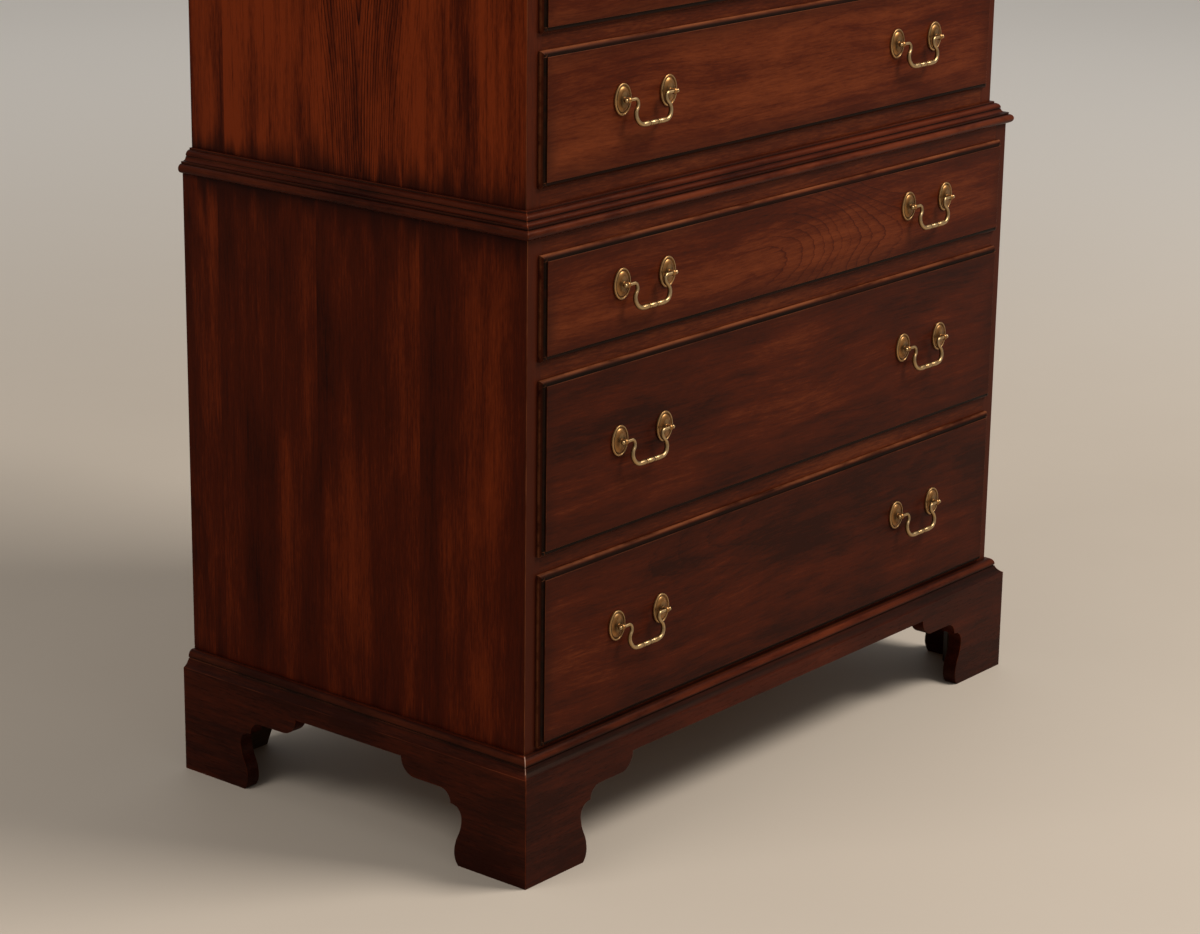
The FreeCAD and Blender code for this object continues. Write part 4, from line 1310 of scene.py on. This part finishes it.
    def fittings(self, metal: bpy.types.Material) -> dict[str, bpy.types.Object]:
        """Turns one rosette, one post and one nut.

        Args:
            metal: The brass.

        Returns:
            Each as an object about the origin, on the front's face.
        """
        shape = self.turning_shape()
        rosette = Section(2.2, 0).line((13.2, 0), (13.5, 0.3), (13.5, 1.3)).arc(12.9, 2.1, 70, 4)
        rosette.line((11.9, 2.3)).arc(10.6, 1.5, -40, 4).line((10.0, 1.5), (9.8, 1.75)).arc(5.5, 3.5, 38, 6)
        rosette.line((5.2, 3.6), (2.2, 3.6), (2.2, 0))
        post = Section(0, -26.8).line((2.2, -26.8), (2.4, -26.5), (2.4, 3.6), (3.4, 3.6), (3.6, 3.8))
        post.arc(2.1, 5.0, -80, 6).line((2.1, 6.326)).arc(0, 12.4, 141.85, 16)
        nut = Section(2.4, 0).line((4.3, 0), (4.6, -0.4), (4.6, -3.1), (4.3, -3.5), (2.4, -3.5), (2.4, 0))
        nut.points = [(radius, place - self.inside) for radius, place in nut.points]
        sizes = {"Rosette": (rosette, 56, 3.5, 5.5, 0.0), "Post": (post, 32, 0.0, 1.0, self.bore),
                 "Nut": (nut, 6, 0.0, 1.0, 0.0)}
        made = {}
        for label, (section, sides, stretch, core, bore) in sizes.items():
            values = {"Sides": sides, "Oval Stretch": stretch * MM, "Round Within": core * MM,
                      "Bore": bore * MM, "Bore Place": -self.pivot_reach * MM, "Metal": metal}
            mesh = note_relief(shape.run(section.mesh(label.lower(), False), values), sides)
            if label == "Rosette":
                # Patina and painted shade round the post.
                for vert, mark in zip(mesh.vertices, mesh.attributes[Trait.GLAZE.value].data):
                    inset = self.centre_darkening_edge - vert.co.xz.length / MM
                    mark.value = max(mark.value, self.centre_darkening * min(inset / self.centre_darkening_fade, 1.0))
            made[label] = link(f"{label.lower()}_pattern", mesh)
        return made

    def build(self) -> None:
        """Makes every drawer's fittings and every bail."""
        metal = self.joinery.finishes.of(BRASS)
        patterns = self.fittings(metal)
        fittings, bail_shape = self.fittings_shape(), self.bail_shape()
        stand = Matrix(((1, 0, 0), (0, 0, -1), (0, 1, 0))).to_4x4()
        values = {"Sides": self.bail_sides, "Steps": self.bail_steps,
                  "Metal": self.joinery.finishes.of(BAIL_BRASS)}
        bail = bail_shape.run(self.bail_line().mesh("bail_line", False), values)
        bail = note_relief(bail, self.bail_sides, self.bail_top_light)
        bail.transform(Matrix.Rotation(math.radians(-self.lean), 4, "X") @ stand)
        for drawer, names in self.bails.items():
            places = []
            for name in names:
                low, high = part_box(name)
                pivot = Vector(((low.x + high.x) / 2, high.y - self.knob * MM, high.z - self.knob * MM))
                mesh = bail.copy()
                mesh.transform(Matrix.Translation(pivot))
                attach(link(f"{name}_brass", mesh), name, [name], BRASS.slot)
                for side in (-0.5, 0.5):
                    places.append(pivot + Vector((side * self.post_spacing, self.pivot_reach, 0)) * MM)
            points = bpy.data.meshes.new(f"{drawer}_post_places")
            points.from_pydata(places, [], [])
            mesh = fittings.run(points, {**patterns, "Metal": metal})
            attach(link(f"{drawer}_pull_fittings", mesh), drawer, [f"{drawer}_pull_posts"], BRASS.slot)
        for pattern in patterns.values():
            bpy.data.objects.remove(pattern)


RELIEF_GAIN = 1.6  # how strongly a bend shows as rubbing or patina
ROUND_TURN = 10.0  # what a round section's own sides take off it, shared among them


def note_relief(mesh: bpy.types.Mesh, sides: int, painted_top_light: float = 0.0) -> bpy.types.Mesh:
    """Marks a metal mesh's hollows for patina and its standing edges for rubbing, paints sheen on one side
    and shade on the other if asked, and smooths it.

    Args:
        mesh: The mesh.
        sides: How many sides its roundness is drawn with.
        painted_top_light: How much painted sheen its outer side, towards +Z, gets; its inner side gets as
            much painted shade.

    Returns:
        The same mesh, facing outwards.
    """
    shell = Shell.of_mesh(mesh)
    relief, outer = [], []
    shell.mesh.normal_update()
    for vert in shell.mesh.verts:
        signs = [e.calc_face_angle_signed(0.0) for e in vert.link_edges]
        relief.append((max(signs) + min(signs) if signs else 0.0) * RELIEF_GAIN - ROUND_TURN / sides)
        # Painted sheen on the side towards +Z, painted shade on the other.
        outer.append(vert.normal.z * painted_top_light)
    shell.mesh.to_mesh(mesh)
    shell.mesh.free()
    bent, facing = np.array(relief, np.float32), np.array(outer, np.float32)
    for trait, sign in ((Trait.WEAR, 1.0), (Trait.GLAZE, -1.0)):
        layer = mesh.attributes.new(trait.value, "FLOAT", "POINT")
        layer.data.foreach_set("value", np.clip(np.maximum(bent * sign, facing * sign), 0.0, 1.0))
    mesh.shade_smooth()
    mesh.set_sharp_from_angle(angle=CAST_CREASE_ANGLE)
    return mesh


@dataclass(frozen=True)
class Lamp:
    """A square lamp: its place and side in millimetres, its power in watts and its colour."""

    name: str
    place: tuple[float, float, float]
    side: float
    power: float
    colour: Colour


@dataclass
class Studio:
    """The camera, a plain pale floor and soft light."""

    eye: tuple[float, float, float] = (-2822.5, -2286.7, 1405.7)
    yaw: float = -50.66
    pitch: float = -16.72
    roll: float = 0.77
    focal: float = 3183.0
    picture_width: int = 1200
    sensor: float = 36.0
    far_clip: float = 100.0
    aim: tuple[float, float, float] = (0.0, 0.0, 650.0)
    lamps: tuple[Lamp, ...] = (Lamp("key", (1500.0, -2400.0, 3900.0), 1700.0, 205.0, (1.0, 0.96, 0.9)),
                               Lamp("fill", (-2600.0, 600.0, 2900.0), 1500.0, 38.0, (1.0, 0.97, 0.93)))
    floor_radius: float = 30.0
    near_floor: Colour = (0.5, 0.43, 0.355)
    far_floor: Colour = (0.95, 0.9, 0.84)
    sky: Colour = (0.95, 0.93, 0.9)
    sky_light: float = 0.36

    def build(self) -> None:
        """Sets up the camera, the floor, the lamps and the world."""
        self.set_camera()
        self.lay_floor()
        for lamp in self.lamps:
            self.hang(lamp)
        self.light_world()
        bpy.context.scene.view_settings.view_transform = "Standard"

    def set_camera(self) -> None:
        """Stands the camera where the picture was taken from."""
        yaw, pitch, roll = (math.radians(a) for a in (self.yaw, self.pitch, self.roll))
        ahead = Vector((-math.sin(yaw) * math.cos(pitch), math.cos(yaw) * math.cos(pitch), math.sin(pitch)))
        level = ahead.cross(Vector((0, 0, 1))).normalized()
        upright = level.cross(ahead)
        right = level * math.cos(roll) + upright * math.sin(roll)
        up = upright * math.cos(roll) - level * math.sin(roll)
        data = bpy.data.cameras.new("camera")
        data.sensor_fit, data.sensor_width = "HORIZONTAL", self.sensor
        data.lens = self.focal / self.picture_width * self.sensor
        data.clip_end = self.far_clip
        camera = link("camera", data)
        turn = Matrix((right, up, -ahead)).transposed().to_4x4()
        camera.matrix_world = Matrix.Translation(Vector(self.eye) * MM) @ turn
        bpy.context.scene.camera = camera

    def lay_floor(self) -> None:
        """Lays a wide round floor, faintly cloudy and paler far off."""
        made = bmesh.new()
        bmesh.ops.create_circle(made, cap_ends=True, radius=self.floor_radius, segments=96)
        mesh = bpy.data.meshes.new("floor")
        made.to_mesh(mesh)
        made.free()
        material, graph, shader = start_material("pale_floor")
        place = graph.value("ShaderNodeTexCoord", None, None, "Object")
        cloud = graph.noise(graph.vector("MULTIPLY", place, (2.2, 2.2, 2.2)), 4.0, 0.6)
        away = graph.value("ShaderNodeVectorMath", {"operation": "LENGTH"}, {0: place}, "Value")
        dusty = tuple(0.93 * c for c in self.near_floor)
        near = graph.mix(0.5 + cloud, self.near_floor, dusty)
        graph.feed(shader.inputs["Base Color"], graph.mix(away.rise(0.9, 5.5), near, self.far_floor))
        graph.feed(shader.inputs["Roughness"], 0.62 + cloud * 0.1)
        mesh.materials.append(material)
        floor = link("floor", mesh)

    def hang(self, lamp: Lamp) -> None:
        """Hangs a lamp that looks at the chest.

        Args:
            lamp: What to hang.
        """
        data = bpy.data.lights.new(lamp.name, "AREA")
        data.size, data.energy, data.color = lamp.side * MM, lamp.power, lamp.colour
        made = link(lamp.name, data)
        made.location = Vector(lamp.place) * MM
        made.rotation_mode = "QUATERNION"
        made.rotation_quaternion = (Vector(self.aim) * MM - made.location).to_track_quat("-Z", "Y")

    def light_world(self) -> None:
        """Surrounds everything with even pale light."""
        world = bpy.data.worlds.new("studio")
        world.use_nodes = True
        bpy.context.scene.world = world
        ground = world.node_tree.nodes["Background"]
        ground.inputs["Color"].default_value = (*self.sky, 1.0)
        ground.inputs["Strength"].default_value = self.sky_light


def main() -> None:
    """Builds the chest in order, from the floor up, then the studio round it."""
    logging.basicConfig(level=logging.INFO, format="%(name)s %(message)s")
    joinery = Joinery(Finishes())
    wide = [f"{case}_drawer_{number}" for case in ("lower", "upper") for number in (1, 2, 3)]
    small = ["small_left_drawer", "small_right_drawer"]
    bails = {name: [f"{name}_left_bail", f"{name}_right_bail"] for name in wide}
    bails.update({name: [f"{name}_bail"] for name in small})
    BracketBase(joinery).build()
    straight = Figure(0.0, 260.0, 200.0, tone=-0.03)
    sides = {"left": straight, "right": straight}
    Case(joinery, "lower", LOWER_HALF, LOWER_FACE, sides, CHERRY_PANEL).build()
    # The upper sides' lighter tones are partly painted light falling from above.
    sides = {"left": Figure(-0.13, -12.0, 9.0, -60.0, 260.0, 0.8, 0.24), "right": replace(straight, tone=0.2)}
    Case(joinery, "upper", UPPER_HALF, UPPER_FACE, sides, CHERRY_UPPER).build()
    Mouldings(joinery).build()
    Drawers(joinery, (*wide, *small)).build()
    Pulls(joinery, bails).build()
    Studio().build()


if __name__ == "__main__":
    main()
